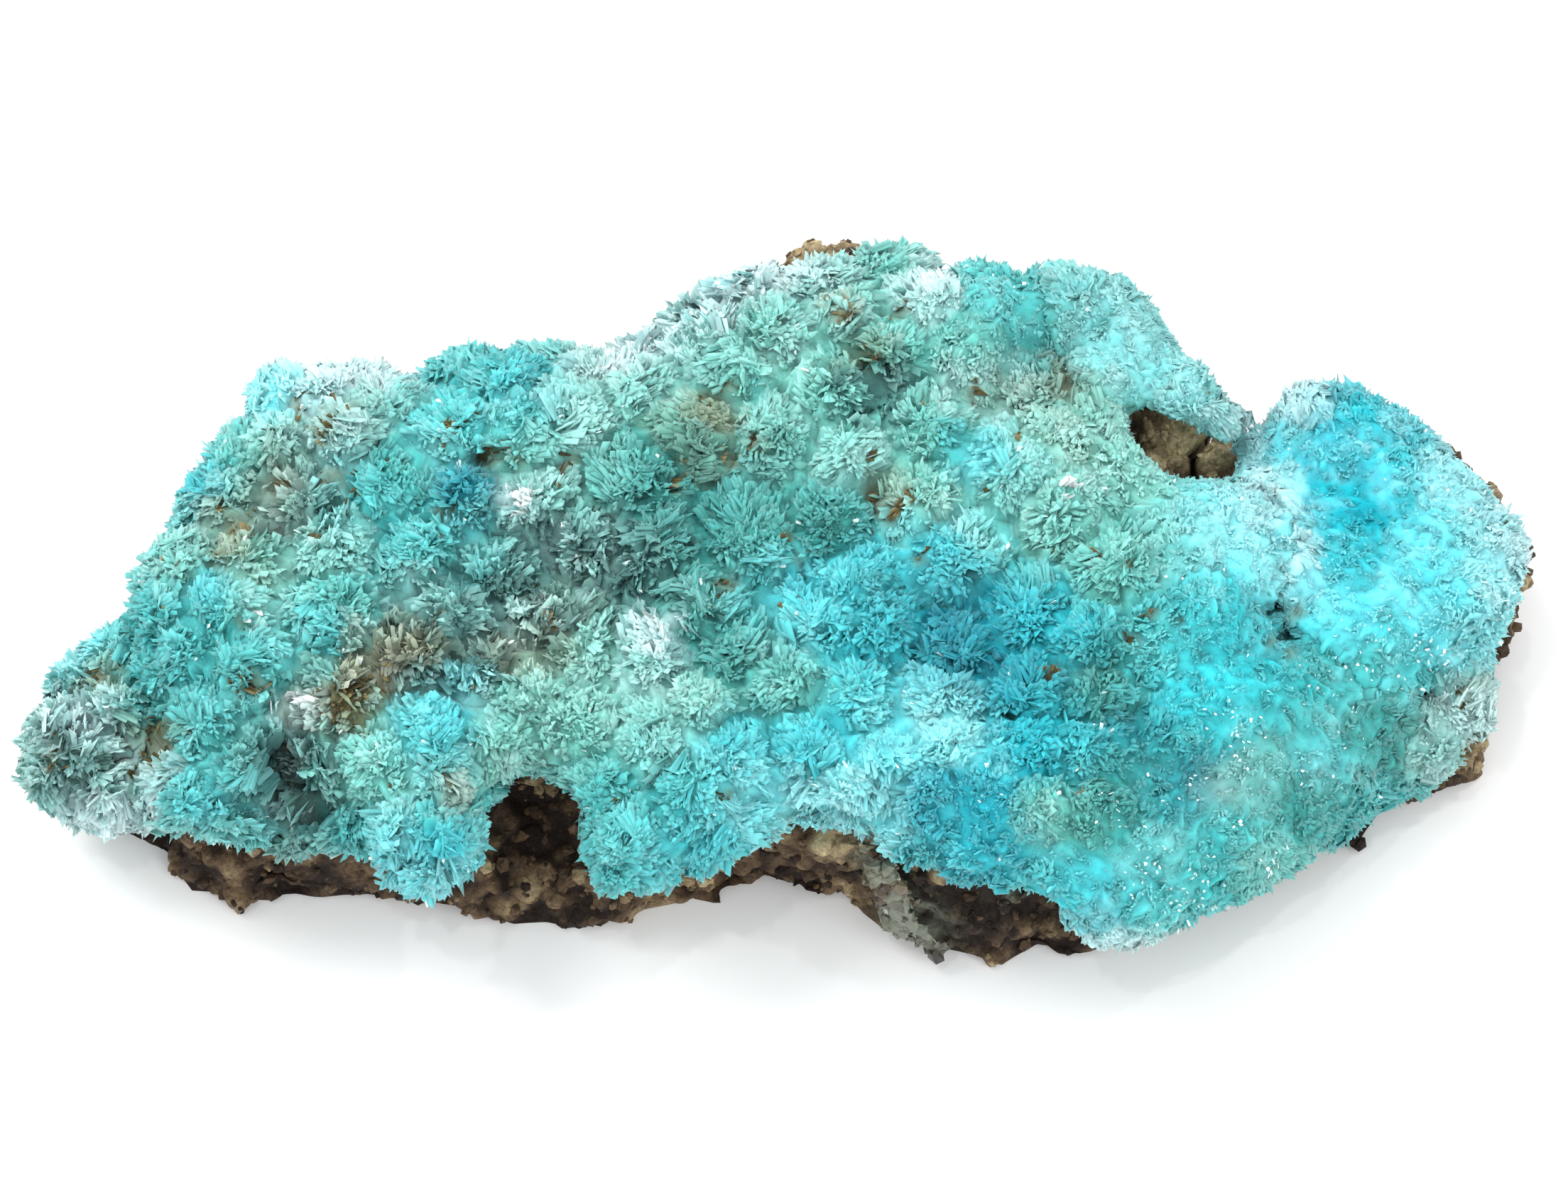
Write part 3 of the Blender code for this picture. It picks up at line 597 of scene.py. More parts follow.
def sheaves(tips, ways, sides, outward, lengths, widths, spreads, grain, chance):
    """Sheaves of three flat needles. Each needle is a triangle carried along a line from its root, where the
    three stand side by side, to its tip, where they have fanned out and end aslant at lengths of their own.
    Gives the corners, and normals turned most of the way to the skin's, as light spreads inside the crust:
    grain is the share of the needle's own."""
    pick = (len(tips), SHEAF_NEEDLES)
    fan = np.array([-1.0, 0.0, 1.0]) + chance.uniform(-FAN_CHANCE, FAN_CHANCE, pick)
    along = ways[:, None] + sides[:, None] * (fan * spreads[:, None])[:, :, None]
    along /= np.linalg.norm(along, axis=2, keepdims=True)
    reach = lengths[:, None] * (1 - FAN_SHORTER * np.abs(fan) - chance.uniform(0, LENGTH_LOSS, pick))
    across = widths[:, None, None] * sides[:, None]
    roots = (tips - ways * lengths[:, None])[:, None] + across * (fan * ROOT_SPACING)[:, :, None]
    ends = roots + along * reach[:, :, None]
    thick = np.cross(along, across) * chance.uniform(*NEEDLE_THICKNESS, pick)[:, :, None]
    turn = np.arange(NEEDLE_SIDES) * math.tau / NEEDLE_SIDES + chance.uniform(0, math.tau, pick)[:, :, None]
    ring = np.cos(turn)[..., None] * across[:, :, None] + np.sin(turn)[..., None] * thick[:, :, None]
    ring *= NEEDLE_RADIUS
    narrowing = chance.uniform(*TIP_SHARES, pick)[:, :, None, None]
    slant = chance.normal(0, TIP_SLANT, pick)[:, :, None] * widths[:, None, None] * np.cos(turn + 1)
    low = roots[:, :, None] + ring * ROOT_SHARE
    high = ends[:, :, None] + ring * narrowing + along[:, :, None] * slant[..., None]
    own = ring / np.linalg.norm(ring, axis=3, keepdims=True)
    soft = own * grain[:, None, None, None] + outward[:, None, None] * SKIN_LIGHT
    ends_soft = soft + along[:, :, None] * TIP_LIGHT
    normals = np.concatenate((soft, ends_soft), axis=2)
    normals /= np.linalg.norm(normals, axis=3, keepdims=True)
    return np.concatenate((low, high), axis=2), normals


def sheaf_faces(count):
    """The triangles of so many sheaves, in the order of sheaves()."""
    starts = np.arange(count * SHEAF_NEEDLES) * NEEDLE_POINTS
    return (starts[:, None, None] + NEEDLE_TRIANGLES[None]).reshape(-1, 3)


# Each crust, with the seed of its chances.
CRUSTS = {
    "main_crust": 101, "upper_crust": 102, "right_lobe": 103, "left_cluster": 104, "lower_right_crust": 105,
}

# A crust's body: how far under the tips it lies, and the size and height of its packed ends.
BODY_INSET = 0.45
FINE_INSET_LOSS = 0.7
COARSE_ENDS = (0.95, 0.45)
FINE_ENDS = (0.7, 0.3)
CLEAR_DEPTH = 0.3
SHORT_DEPTH = 0.5
BODY_TONE = 0.92
BODY_TONES = (0.7, 1.12)
BODY_RUST = 0.6

# Sprays: the height of their heads over the valleys where two meet, the depth of those valleys under the
# skin, and how far from them the heads round off.
SPRAY_HEIGHT = 0.64
SPRAY_VALLEY = 0.34
SPRAY_ROUNDING = 1.2

# How much a crust is raised where another lies against it, and how far off others are looked for.
SEAM_RISE = 0.9
SEAM_REACH = 3.0


def crust_zones(points):
    """Face places with ragged edges, and how fine, how clear and how short the needles are there."""
    face = wander(points, 80, 0.8)
    fine = zone_share(face, FINE_PLACES, 1.3)
    clear = zone_share(face, CLEAR_PLACES, 1.2)
    short = zone_share(face, SHORT_PLACES, 1.0)
    return face, fine, clear, short


def spray_relief(near, second, fine):
    """Height of the sprays' rounded heads over the skin, in millimetres, with valleys where two meet."""
    head = SPRAY_HEIGHT * (1 - np.exp(-(second - near) / SPRAY_ROUNDING))
    return (head - SPRAY_VALLEY) * (1 - 0.65 * fine)


def seam_share(points, neighbours):
    """1 where another crust lies against this one, falling to 0 two millimetres from it."""
    away = [
        min(skin.find_nearest(Vector(point), SEAM_REACH)[3] or SEAM_REACH for skin in neighbours)
        for point in points
    ]
    return np.clip(1.25 - np.array(away) / 1.6, 0, 1)


def crust_look(points, middles, index):
    """Tint at points: most of it their own, and the rest that of about the middle of their spray."""
    chance = np.random.default_rng(len(middles))
    shifted = middles + chance.normal(0, 0.8, middles.shape)
    tones = np.clip(1 + chance.normal(0, 0.07, len(middles)), *SPRAY_TONES)
    of_sprays = crust_tints(shifted) * tones[:, None]
    return OWN_TINT_SHARE * crust_tints(points) + (1 - OWN_TINT_SHARE) * of_sprays[index]


def packed_ends(points, fine):
    """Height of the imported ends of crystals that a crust's body shows, in millimetres."""
    coarse_size, coarse_height = COARSE_ENDS
    fine_size, fine_height = FINE_ENDS
    coarse = packed_facets(points, coarse_size, 3) * coarse_height * (1 - fine)
    return coarse + packed_facets(points, fine_size, 4) * fine_height * fine


def crust_body(node, places, triangles, sprays, material, skin_of_stone, neighbours):
    """What the needles grow from: the crust's skin drawn in and raised in packed ends of crystals."""
    body, faces = split_triangles(places, triangles)
    body = relaxed(body, faces, 1)
    body, faces = split_triangles(body, faces, open_triangles(body, faces, skin_of_stone))
    body = relaxed(body, faces, 1)
    outward = skin_normals(body, faces)
    _, fine, clear, short = crust_zones(body)
    index, near, second = nearest_two(body, sprays[0])
    ends = packed_ends(body, fine)
    gap_and_shade = gap_depth_and_shade(body)
    rise = ends + spray_relief(near, second, fine) - CLEAR_DEPTH * clear - gap_and_shade - SHORT_DEPTH * short
    rise += SEAM_RISE * seam_share(body, neighbours) * (1 - short)
    moved = body + outward * (rise - BODY_INSET * (1 - FINE_INSET_LOSS * fine))[:, None]
    # Painted light and shade: the body is lighter where its packed ends stand high and darker where they lie
    # low.
    tone = (BODY_TONE - 0.35 * clear + 0.05 * fine) * np.clip(1 + 0.35 * ends, *BODY_TONES)
    # Painted shade: the body's colour is darkened in the gaps.
    colour = crust_look(body, sprays[0], index) * (tone * (1 - 0.85 * gap_and_shade))[:, None]
    colour += (np.array(RUST_TINTS[0]) - colour) * BODY_RUST * rust_share(body)[:, None]
    mesh = make_mesh(node + "_body", moved, faces, True, colour)
    add_piece(node + "_body", node, mesh, material)


# How sheaves lean: depth of their spray's root, in coarse places and more in fine ones, and their drift.
ROOT_DEPTH = 1.7
FINE_ROOT_DEPTH = 2.2
DRIFT = 1.4
LEAST_LEAN = 0.4


def lean_ways(points, outward, fine, sprays, chance):
    """Which way each sheaf points: out from its spray's root, bent by noise that its neighbours share."""
    middles, middle_ways = sprays
    index, near, second = nearest_two(points, middles)
    depth = (ROOT_DEPTH + FINE_ROOT_DEPTH * fine) * chance.uniform(0.8, 1.4, len(middles))[index]
    centre = middles[index] - middle_ways[index] * depth[:, None]
    spray = unit(points - centre)
    drift = np.column_stack([soft_noise(points, 2.0, 90 + axis) - 0.5 for axis in range(3)]) * DRIFT
    chanced = chance.normal(0, 1, points.shape) * (0.2 + 0.25 * fine)[:, None]
    ways = unit(spray + drift * (1 - 0.5 * fine)[:, None] + chanced)
    rise = np.maximum(0, LEAST_LEAN - np.sum(ways * outward, axis=1))
    return unit(ways + outward * rise[:, None] * 1.4), index, near, second


# Sheaves in coarse places, in millimetres; fine places make them smaller.
SHEAF_SPACING = 0.382
SHEAF_WIDTH = 0.45
SHEAF_WIDTHS = (0.6, 1.4)
SHEAF_LENGTH = 1.3
SHEAF_LENGTHS = (0.8, 1.2)
SHEAF_SPREADS = (0.4, 1.6)
LIFT_CHANCE = 0.13
MOST_LIFT = 1.2
LONGER_SHARE = 0.12
LONGER_BY = (0.1, 0.4)
STRAY_RUST = 0.006
CLEAR_SHARE = 0.8
DULLNESS = (0.4, 1.0)


def needle_kinds(points, face, fine, clear, chance):
    """Which sheaves are stained, painted white as glints, broad white plates, or dark as painted shade."""
    count = len(points)
    stained = chance.random(count) < rust_share(points) + STRAY_RUST
    sparkle = (0.1 + 0.2 * fine) * zone_share(face, SPARKLE_PLACES, 1.0) ** 2
    # Needles painted white to stand in for glints, most where glints cluster.
    bright = chance.random(count) < sparkle + 0.006 + 0.009 * fine
    plate = chance.random(count) < zone_share(face, PLATE_PLACES, 0.9)
    dark = ~bright & ~plate & (chance.random(count) < 0.02 - 0.015 * fine + 0.07 * clear)
    return stained, bright, plate, dark


def needle_colours(tint, stained, bright, plate, dark, chance):
    """Colour at each corner of the sheaves: paler at the tip, and by kind stained, dark as painted shade,
    white as painted glints, or whitish as plates.
    """
    rust = np.array(RUST_TINTS)[chance.integers(0, len(RUST_TINTS), len(tint))]
    tint = np.where(stained[:, None], rust, tint)
    # Painted shade: dark sheaves keep about a third of their tint.
    tint = np.where(dark[:, None], tint * 0.35, tint)
    white = (bright | plate)[:, None]
    tint = np.where(white, np.array(WHITE_PLATE_AND_GLINT) * (1 - 0.3 * plate)[:, None], tint)
    paler = np.where(stained | dark | bright, 0.0, 1.0)[:, None]
    tip_tint = tint * (1 + 0.12 * paler) + 0.02 * paler
    ends = np.stack((tint * 0.85, tip_tint), axis=1)
    return np.repeat(np.repeat(ends[:, None], SHEAF_NEEDLES, axis=1), NEEDLE_SIDES, axis=2)


def crust_needles(node, places, triangles, seed, sprays, materials, neighbours):
    """The sheaves of needles over a crust, pale at the tip; some stained, some darkened as painted shade in
    gaps, some painted white as glints.
    """
    chance = np.random.default_rng(seed)
    normals = skin_normals(places, triangles)
    points, outward = scatter(places, triangles, normals, SHEAF_SPACING, chance)
    face, fine, clear, short = crust_zones(points)
    keep = chance.random(len(points)) < 0.85 + 0.15 * fine - 0.1 * clear
    points, outward, face = points[keep], outward[keep], face[keep]
    fine, clear, short = fine[keep], clear[keep], short[keep]
    count = len(points)
    ways, index, near, second = lean_ways(points, outward, fine, sprays, chance)
    valley_shade = np.exp(-(((second - near) / 0.6) ** 2))
    stained, bright, plate, dark = needle_kinds(points, face, fine, clear, chance)
    lift = chance.normal(0, LIFT_CHANCE, count) * (1 - 0.55 * fine) + spray_relief(near, second, fine)
    gap_and_shade = gap_depth_and_shade(points)
    lift += 0.1 * bright + 0.2 * plate - 0.25 * stained - 0.2 * dark - 0.9 * gap_and_shade
    longer = (chance.random(count) < LONGER_SHARE) * (1 - fine) * chance.uniform(*LONGER_BY, count)
    lift += (SEAM_RISE * seam_share(points, neighbours) + longer) * (1 - short) - 0.06 * fine - 0.75 * short
    tips = points + outward * np.minimum(lift, MOST_LIFT)[:, None]
    sides = unit(np.cross(ways, chance.normal(size=(count, 3))))
    widths = (SHEAF_WIDTH - 0.16 * fine) * chance.uniform(*SHEAF_WIDTHS, count)
    widths *= 1 - (0.64 - 0.02 * fine) * bright + 0.1 * plate - 0.3 * stained
    rim = np.clip(near / 2.2, 0, 1)
    lengths = SHEAF_LENGTH + 0.7 * rim * (1 - fine) - 0.65 * fine + longer
    lengths = lengths * chance.uniform(*SHEAF_LENGTHS, count) * (1 - 0.7 * bright)
    spreads = (0.1 + 0.1 * fine) * chance.uniform(*SHEAF_SPREADS, count) * (1 - 0.7 * bright)
    grain = 0.7 - 0.15 * fine - 0.25 * zone_share(face, SMOOTH_PLACES, 1.2)
    corners, soft = sheaves(tips, ways, sides, outward, lengths, widths, spreads, grain, chance)

    vary = 0.08 + 0.08 * clear
    # Painted shade: sheaves are darker near the valleys between sprays and in the gaps.
    tone = (1 + chance.normal(0, 1, count) * vary) * (1 - 0.18 * valley_shade) * (1 - 0.75 * gap_and_shade)
    tint = crust_look(points, sprays[0], index) * np.clip(tone, 0.12, 1.35)[:, None]
    colours = needle_colours(tint, stained, bright, plate, dark, chance)
    dullness = np.where(bright, 0.0, chance.uniform(*DULLNESS, count))
    is_clear = (chance.random(count) < clear * CLEAR_SHARE) & ~stained & ~bright
    kinds = {"clear": is_clear, "bright": bright, "milky": ~is_clear & ~bright}
    for kind, of_kind in kinds.items():
        chosen = np.flatnonzero(of_kind)
        milky = kind == "milky"
        batches = np.array_split(chosen, max(1, math.ceil(len(chosen) / SHEAVES_A_PIECE)))
        for number, batch in enumerate(batches):
            if len(batch) == 0:
                continue
            name = f"{node}_{kind}_needles_{number + 1}"
            dull = np.repeat(dullness[batch], SHEAF_NEEDLES * NEEDLE_POINTS)
            mesh = make_mesh(
                name, corners[batch].reshape(-1, 3), sheaf_faces(len(batch)), milky,
                colours[batch].reshape(-1, 3), dull, soft[batch] if milky else None,
            )
            add_piece(name, node, mesh, materials[kind])


# Materials

MILKY_SCATTER = 0.3
CRYSTAL_IOR = 1.6
NOISE_SPAN = (0.3, 0.7)
DROP_IOR = 1.55


def new_material(name):
    material = bpy.data.materials.new(name)
    material.use_nodes = True
    tree = material.node_tree
    return material, tree, tree.nodes["Principled BSDF"]


def new_node(tree, kind, **values):
    """A node with values set on its sockets, or on itself where it has no socket of that name."""
    made = tree.nodes.new(kind)
    for name, value in values.items():
        if name in made.inputs:
            made.inputs[name].default_value = value
        else:
            setattr(made, name, value)
    return made


def link(tree, source, output, target, socket):
    tree.links.new(source.outputs[output], target.inputs[socket])


def crystal_grain():
    """Node group: a tint varied by cloudy noise, with a roughness and a height for fine ridges."""
    group = bpy.data.node_groups.new("crystal_grain", "ShaderNodeTree")
    for name, way, kind in [
        ("Tint", "INPUT", "Color"), ("Dullness", "INPUT", "Float"), ("Color", "OUTPUT", "Color"),
        ("Roughness", "OUTPUT", "Float"), ("Height", "OUTPUT", "Float"),
    ]:
        group.interface.new_socket(name, in_out=way, socket_type="NodeSocket" + kind)
    given = group.nodes.new("NodeGroupInput")
    result = group.nodes.new("NodeGroupOutput")
    place = group.nodes.new("ShaderNodeTexCoord")
    cloud = new_node(group, "ShaderNodeTexNoise", Scale=900.0, Detail=2.0)
    ridge = new_node(group, "ShaderNodeTexNoise", Scale=4200.0, Detail=1.0)
    link(group, place, "Object", cloud, "Vector")
    link(group, place, "Object", ridge, "Vector")
    shade = spread_value(group, cloud.outputs["Fac"], *NOISE_SPAN, 0.88, 1.12)
    tinted = group.nodes.new("ShaderNodeHueSaturation")
    group.links.new(shade, tinted.inputs["Value"])
    link(group, given, "Tint", tinted, "Color")
    link(group, tinted, "Color", result, "Color")
    dull = spread_value(group, given.outputs["Dullness"], 0.0, 1.0, 0.05, 0.55)
    rough = new_node(group, "ShaderNodeMath", operation="MULTIPLY_ADD")
    rough.inputs[1].default_value = 0.15
    group.links.new(ridge.outputs["Fac"], rough.inputs[0])
    group.links.new(dull, rough.inputs[2])
    link(group, rough, "Value", result, "Roughness")
    link(group, ridge, "Fac", result, "Height")
    return group


def spread_value(tree, socket, low, high, to_low, to_high):
    """A value spread from one range to another."""
    spread = tree.nodes.new("ShaderNodeMapRange")
    for name, value in (("From Min", low), ("From Max", high), ("To Min", to_low), ("To Max", to_high)):
        spread.inputs[name].default_value = value
    tree.links.new(socket, spread.inputs["Value"])
    return spread.outputs["Result"]


def crystal_material(name, grain, transmission, scattering, depth_mm, bump_mm, dullness=None):
    material, tree, shader = new_material(name)
    look = tree.nodes.new("ShaderNodeGroup")
    look.node_tree = grain
    tint = new_node(tree, "ShaderNodeAttribute", attribute_name="tint")
    link(tree, tint, "Color", look, "Tint")
    if dullness is None:
        dull = new_node(tree, "ShaderNodeAttribute", attribute_name="dullness")
        link(tree, dull, "Fac", look, "Dullness")
    else:
        look.inputs["Dullness"].default_value = dullness
    bump = new_node(tree, "ShaderNodeBump", Strength=0.5, Distance=bump_mm * MM)
    link(tree, look, "Height", bump, "Height")
    link(tree, look, "Color", shader, "Base Color")
    link(tree, look, "Roughness", shader, "Roughness")
    link(tree, bump, "Normal", shader, "Normal")
    shader.inputs["Transmission Weight"].default_value = transmission
    shader.inputs["Subsurface Weight"].default_value = scattering
    shader.inputs["Subsurface Radius"].default_value = (0.9, 1.0, 1.0)
    shader.inputs["Subsurface Scale"].default_value = depth_mm * MM
    shader.inputs["Specular IOR Level"].default_value = 0.1
    shader.inputs["IOR"].default_value = CRYSTAL_IOR
    return material


def speckled_material(name, noise, shades, dullness, bump):
    """A material whose shade, dullness and bumps all follow one noise, with its shader. The shades and
    dullness are those of the noise's low and high, and bump is a strength and a height in millimetres."""
    material, tree, shader = new_material(name)
    strength, height = bump
    tint = new_node(tree, "ShaderNodeAttribute", attribute_name="tint")
    place = tree.nodes.new("ShaderNodeTexCoord")
    speck = new_node(tree, "ShaderNodeTexNoise", **noise)
    link(tree, place, "Object", speck, "Vector")
    tinted = tree.nodes.new("ShaderNodeHueSaturation")
    tree.links.new(spread_value(tree, speck.outputs["Fac"], *NOISE_SPAN, *shades), tinted.inputs["Value"])
    link(tree, tint, "Color", tinted, "Color")
    link(tree, tinted, "Color", shader, "Base Color")
    rough = spread_value(tree, speck.outputs["Fac"], *NOISE_SPAN, *dullness)
    tree.links.new(rough, shader.inputs["Roughness"])
    relief = new_node(tree, "ShaderNodeBump", Strength=strength, Distance=height * MM)
    link(tree, speck, "Fac", relief, "Height")
    link(tree, relief, "Normal", shader, "Normal")
    return material, shader


def stone_material():
    noise = {"Scale": 2600.0, "Detail": 4.0, "Roughness": 0.7}
    material, shader = speckled_material("brown_stone", noise, (0.45, 1.6), (0.95, 0.6), (0.8, 0.25))
    shader.inputs["Specular IOR Level"].default_value = 0.3
    return material


def drop_material():
    noise = {"Scale": 1600.0, "Detail": 3.0}
    material, shader = speckled_material("clear_drops", noise, (0.8, 1.25), (0.1, 0.4), (0.4, 0.08))
    shader.inputs["Transmission Weight"].default_value = 0.35
    shader.inputs["IOR"].default_value = DROP_IOR
    return material


# Stone

# Tints of the stone, as linear red, green and blue: near black in pits, partly painted shade, red-brown on
# broken faces and tan on fresh breaks; and the tone, from 0 to 1, at which pits have turned into broken
# faces.
STONE_TINTS = [(0.015, 0.008, 0.005), (0.112, 0.071, 0.038), (0.38, 0.30, 0.17)]
PIT_TONE = 0.4
GLASSY_TINT = (0.26, 0.29, 0.22)
GLASSY_PLACES = [
    (5.6, -15.6, 1.3), (7.2, -19.8, 1.4), (8.7, -21, 1.5), (6.2, -17.2, 0.8), (13.4, -18.2, 0.8),
]
DROP_TINT = (0.24, 0.27, 0.2)
# Where the stone is pale tan; the two places at u 43.8 are painted light, lifting a part that lies in shadow
# under the crust.
PALE_STONE_PLACES = [
    (24, 9.6, 4), (24.5, 9, 4), (27.5, 9, 3), (40, 12, 3), (45, 8, 4), (-1, -17, 5), (-6, -19.5, 4),
    (3.5, -16, 3), (44.5, 7, 4), (43.5, -9.6, 2), (-17, -12.8, 2.2), (2, 22.5, 3), (2.2, 22, 2),
    (43.8, -10, 2), (43.8, -9.4, 2), (-13, 15.6, 2.4),
]
# Cracks: lines on the face where the stone is sunk and painted near black as the shade in the gap.
CRACKS = [[(25.9, 7.2), (25.8, 9), (27.6, 10.4)]]
CRACK_WIDTH = 0.32
CRACK_SHADE = 0.97

# Relief of the stone, in millimetres: its lumps, the grains between its pits, its cracks, how far it is drawn
# in, and the height above the flat base at which the relief is full.
LUMP_HEIGHT = 1.4
GRAIN_HEIGHT = 1.3
CRACK_DEPTH = 1.6
STONE_INSET = 0.15
FLAT_BASE = 0.5

# Crumbs: least and most radius, and their spacing.
STONE_CRUMBS = (0.2, 0.66)
STONE_CRUMB_SPACING = 0.94
DROP_GRAINS = (0.18, 0.6)
DROP_GRAIN_SPACING = 0.62
CRUMB_CORNERS = 12


def crack_share(points):
    """1 on the line of a crack, falling to 0 beside it."""
    face = face_places(points)
    share = np.zeros(len(points))
    for line in CRACKS:
        for start, end in zip(line, line[1:]):
            start, end = np.array(start), np.array(end)
            edge = end - start
            along = np.clip((face - start) @ edge / (edge @ edge), 0, 1)
            away = np.linalg.norm(face - start - along[:, None] * edge, axis=1)
            share = np.maximum(share, np.exp(-((away / CRACK_WIDTH) ** 4)))
    return share


def stone_tones(points, rise):
    """Colour of the stone: tan where broken last, with painted shade in its pits and painted light where it
    stands proud.
    """
    pale = np.sum(nearness(face_places(points), PALE_STONE_PLACES), axis=1)
    patch = soft_noise(points, 4.5, 25)
    grit = soft_noise(points, 0.9, 26) - 0.5
    # Painted light and shade: the tone rises with the relief, so pits and crevices are darker and proud parts
    # tan.
    tone = np.clip(0.15 + 0.3 * pale + rise * 0.55 + (patch - 0.5) * 0.7 + grit * 0.6, 0, 1)[:, None]
    dark, red, light = (np.array(tint) for tint in STONE_TINTS)
    low = dark + (red - dark) * tone / PIT_TONE
    colour = np.where(tone < PIT_TONE, low, red + (light - red) * (tone - PIT_TONE) / (1 - PIT_TONE))
    haze = np.clip(soft_noise(points, 0.9, 27) * 2.6 - 0.7, 0, 1)
    glassy = zone_share(face_places(points), GLASSY_PLACES, 1.2) * haze
    colour += (np.array(GLASSY_TINT) - colour) * 0.7 * glassy[:, None]
    return colour * (1 - CRACK_SHADE * crack_share(points))[:, None]


def stone(merged, skins, material):
    """The broken stone: its skin cut fine and pushed into lumps, grains and pits, and set with crumbs."""
    places, triangles = merged
    crusts = [skin for name, skin in skins.items() if name != "matrix"]
    body, faces = split_triangles(*split_triangles(places, triangles))
    middles = body[faces].mean(axis=1)
    facing = skin_normals(body, faces)[faces].mean(axis=1)
    body, faces = split_triangles(body, faces, clear_of(crusts, middles, facing, 1.2))
    body = relaxed(body, faces, 1)
    outward = skin_normals(body, faces)
    lumps = soft_noise(body, 2.6, 21) + 0.5 * soft_noise(body, 1.2, 22)
    grains = grain_distance(body, 1.5, 23)
    rise = (lumps - 0.75) * LUMP_HEIGHT - (grains - 0.5) * GRAIN_HEIGHT - crack_share(body) * CRACK_DEPTH
    above_base = np.clip(body[:, 2] / FLAT_BASE, 0, 1)
    moved = body + outward * ((rise - STONE_INSET) * above_base)[:, None]
    moved[:, 2] = np.maximum(moved[:, 2], 0)
    mesh = make_mesh("stone", moved, faces, True, stone_tones(body, rise - 0.2))
    add_piece("stone", "matrix", mesh, material)
    normals = skin_normals(moved, faces)
    upper = (moved[faces].mean(axis=1)[:, 2] > 0.4) & (outward[faces[:, 0], 2] > -0.6)
    points, facing = scatter(moved, faces[upper], normals, STONE_CRUMB_SPACING, np.random.default_rng(31))
    free = clear_of(crusts, points - facing * 0.8, facing, 2.2) & (crack_share(points) < 0.2)
    crumbs("stone_crumbs", "matrix", points[free], facing[free], STONE_CRUMBS, material)


def crumbs(name, node, points, facing, sizes, material, lighter=0.0):
    """Broken grains set in a skin: squashed twenty-sided balls, each point of them moved in or out by chance.
    They have the stone's colours, made lighter by the given tone."""
    chance = np.random.default_rng(32)
    count = len(points)
    golden = (1 + math.sqrt(5)) / 2
    ball = unit(np.array([
        np.roll((x, y * golden, 0), turn) for turn in range(3) for y in (1, -1) for x in (-1, 1)
    ]))
    sides = np.array([
        (0, 11, 5), (0, 5, 1), (0, 1, 7), (0, 7, 10), (0, 10, 11), (1, 5, 9), (5, 11, 4), (11, 10, 2),
        (10, 7, 6), (7, 1, 8), (3, 9, 4), (3, 4, 2), (3, 2, 6), (3, 6, 8), (3, 8, 9), (4, 9, 5), (2, 4, 11),
        (6, 2, 10), (8, 6, 7), (9, 8, 1),
    ])
    radii = sizes[0] + (sizes[1] - sizes[0]) * chance.random(count) ** 2.5
    stretch = chance.uniform(0.6, 1.3, (count, 1, 3))
    bumps = chance.uniform(0.75, 1.15, (count, CRUMB_CORNERS, 1))
    spun = np.linalg.qr(chance.normal(size=(count, 3, 3)))[0]
    spun *= np.sign(np.linalg.det(spun))[:, None, None]
    corners = (ball[None] * stretch * bumps) @ spun * radii[:, None, None]
    middles = points - facing * (radii * chance.uniform(-0.1, 0.6, count))[:, None]
    corners = middles[:, None] + corners
    corners[:, :, 2] = np.maximum(corners[:, :, 2], 0.02)
    shade = chance.normal(0.0, 0.28, count)
    tint = stone_tones(points, shade + lighter)
    faces = (np.arange(count)[:, None, None] * CRUMB_CORNERS + sides[None]).reshape(-1, 3)
    mesh = make_mesh(name, corners.reshape(-1, 3), faces, False, np.repeat(tint, CRUMB_CORNERS, axis=0))
    add_piece(name, node, mesh, material)


def drops(merged, material):
    """The clear drops: lumps run together, with broken glassy grains over them."""
    places, triangles = merged
    body, faces = split_triangles(*split_triangles(places, triangles))
    body = relaxed(body, faces, 2)
    outward = skin_normals(body, faces)
    body = body - outward * ((grain_distance(body, 1.1, 61) - 0.35) * 0.7)[:, None]
    haze = np.clip(soft_noise(body, 0.9, 62) * 2.6 - 0.5, 0, 1)
    share = zone_share(face_places(body), GLASSY_PLACES, 1.6) * haze
    tint = stone_tones(body, soft_noise(body, 0.8, 64) - 0.3)
    tint += (np.array(DROP_TINT) - tint) * share[:, None]
    mesh = make_mesh("drops", body, faces, True, tint)
    add_piece("drops", "glassy_drops", mesh, material)
    normals = skin_normals(body, faces)
    points, facing = scatter(body, faces, normals, DROP_GRAIN_SPACING, np.random.default_rng(63))
    crumbs("drop_grains", "glassy_drops", points, facing, DROP_GRAINS, material, 0.25)


# Stage

# Each light: its name, its width, its power and its place.
LIGHTS = [
    ("key", 320, 1.6, (-260, 180, 420)),
    ("fill", 400, 0.6, (320, -260, 380)),
    ("glint_0", 14, 0.12, (-90, -60, 420)),
    ("glint_1", 14, 0.12, (150, 60, 380)),
    ("glint_2", 14, 0.12, (40, 220, 360)),
]
LIGHT_TARGET = (0, 0, 10)
FLOOR_REACH_M = 3.0
FLOOR_GREY = 0.9
WORLD_STRENGTH = 1.1


def add_light(name, width, power, place):
    light = bpy.data.lights.new(name, "AREA")
    light.shape = "DISK"
    light.size = width * MM
    light.energy = power
    obj = new_object(name, light)
    obj.location = Vector(place) * MM
    obj.rotation_euler = (Vector(LIGHT_TARGET) - Vector(place)).to_track_quat("-Z", "Y").to_euler()


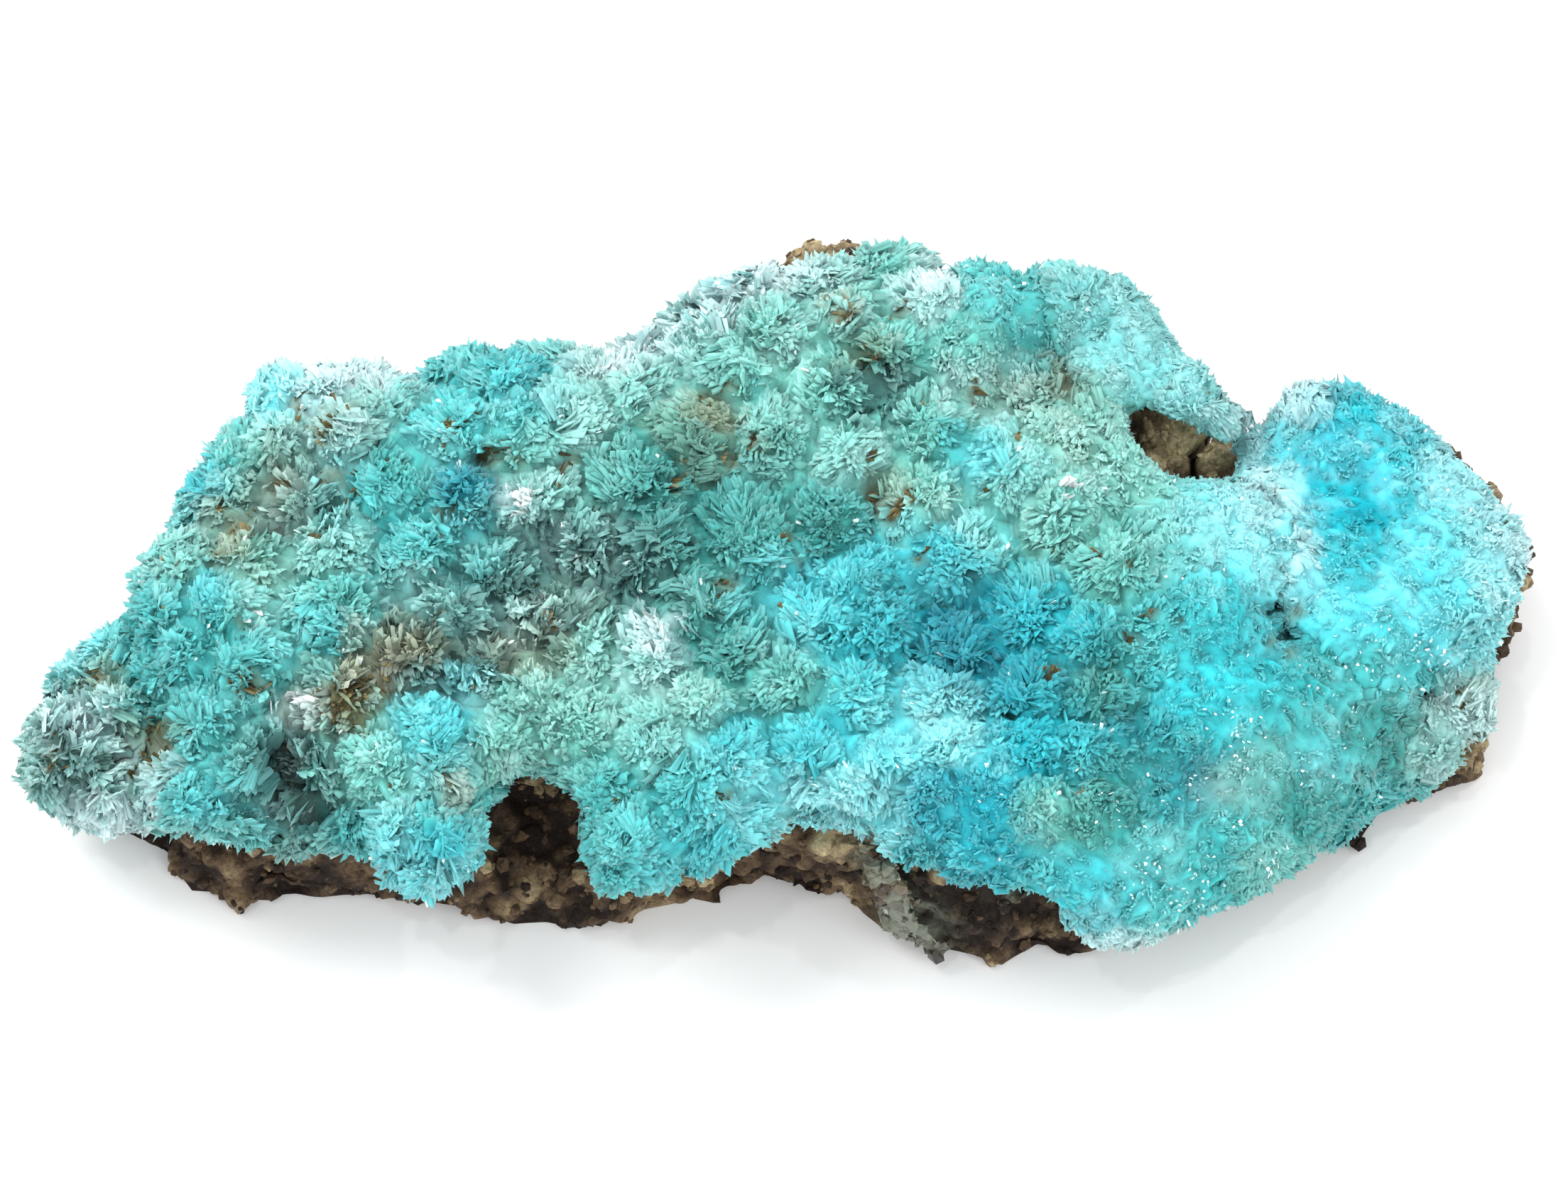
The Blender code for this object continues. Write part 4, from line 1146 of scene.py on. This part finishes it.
def make_stage():
    """A pale floor under even white light, with a key, a fill and three small lights for glints."""
    floor = bpy.data.meshes.new("floor")
    ways = [(-1, -1), (1, -1), (1, 1), (-1, 1)]
    floor.from_pydata([(x * FLOOR_REACH_M, y * FLOOR_REACH_M, 0) for x, y in ways], [], [(0, 1, 2, 3)])
    floor_piece = new_object("floor", floor)
    material, _, shader = new_material("pale_floor")
    shader.inputs["Base Color"].default_value = (FLOOR_GREY, FLOOR_GREY, FLOOR_GREY, 1.0)
    shader.inputs["Roughness"].default_value = 0.9
    floor.materials.append(material)
    world = bpy.data.worlds.new("studio")
    bpy.context.scene.world = world
    world.use_nodes = True
    background = world.node_tree.nodes["Background"]
    background.inputs["Color"].default_value = (1.0, 1.0, 1.0, 1.0)
    background.inputs["Strength"].default_value = WORLD_STRENGTH
    for light in LIGHTS:
        add_light(*light)


def make_camera():
    """A camera square to the face, far enough away for its lines to run nearly straight."""
    camera = bpy.data.cameras.new("camera")
    camera.sensor_width = SENSOR_WIDTH
    camera.lens = SENSOR_WIDTH * VIEW_DISTANCE / VIEW_WIDTH
    camera.clip_start = 0.01
    obj = new_object("camera", camera)
    target = Vector((-MIDDLE[0], -MIDDLE[1], FACE_HEIGHT))
    away = Vector((0, -math.sin(FACE_LEAN), math.cos(FACE_LEAN))) * VIEW_DISTANCE
    obj.location = (target + away) * MM
    obj.rotation_euler = (-away).to_track_quat("-Z", "Y").to_euler()
    bpy.context.scene.camera = obj


def main():
    make_camera()
    make_stage()
    grain = crystal_grain()
    materials = {
        "clear": crystal_material("clear_needles", grain, 0.5, 0.0, 0.0, 0.03),
        # Needles painted white as glints, and glossy as well.
        "bright": crystal_material("painted_glint_needles", grain, 0.0, 0.0, 0.0, 0.02),
        "milky": crystal_material("milky_needles", grain, 0.0, MILKY_SCATTER, 0.6, 0.03),
    }
    body = crystal_material("crust_body", grain, 0.0, 1.0, 1.0, 0.12, 0.8)
    merged = {name: merged_copy(name) for name in ["matrix", "glassy_drops", *CRUSTS]}
    skins = {
        name: BVHTree.FromPolygons(places.tolist(), triangles.tolist())
        for name, (places, triangles) in merged.items()
    }
    for name, seed in CRUSTS.items():
        places, triangles = merged[name]
        outer = triangles[open_triangles(places, triangles, skins["matrix"])]
        sprays = spray_middles(places, outer, SPRAY_SPACING, seed)
        neighbours = [skin for other, skin in skins.items() if other not in (name, "matrix")]
        crust_body(name, places, triangles, sprays, body, skins["matrix"], neighbours)
        crust_needles(name, places, outer, seed, sprays, materials, neighbours)
    stone(merged["matrix"], skins, stone_material())
    drops(merged["glassy_drops"], drop_material())
    bpy.context.scene.view_settings.view_transform = "Standard"


main()
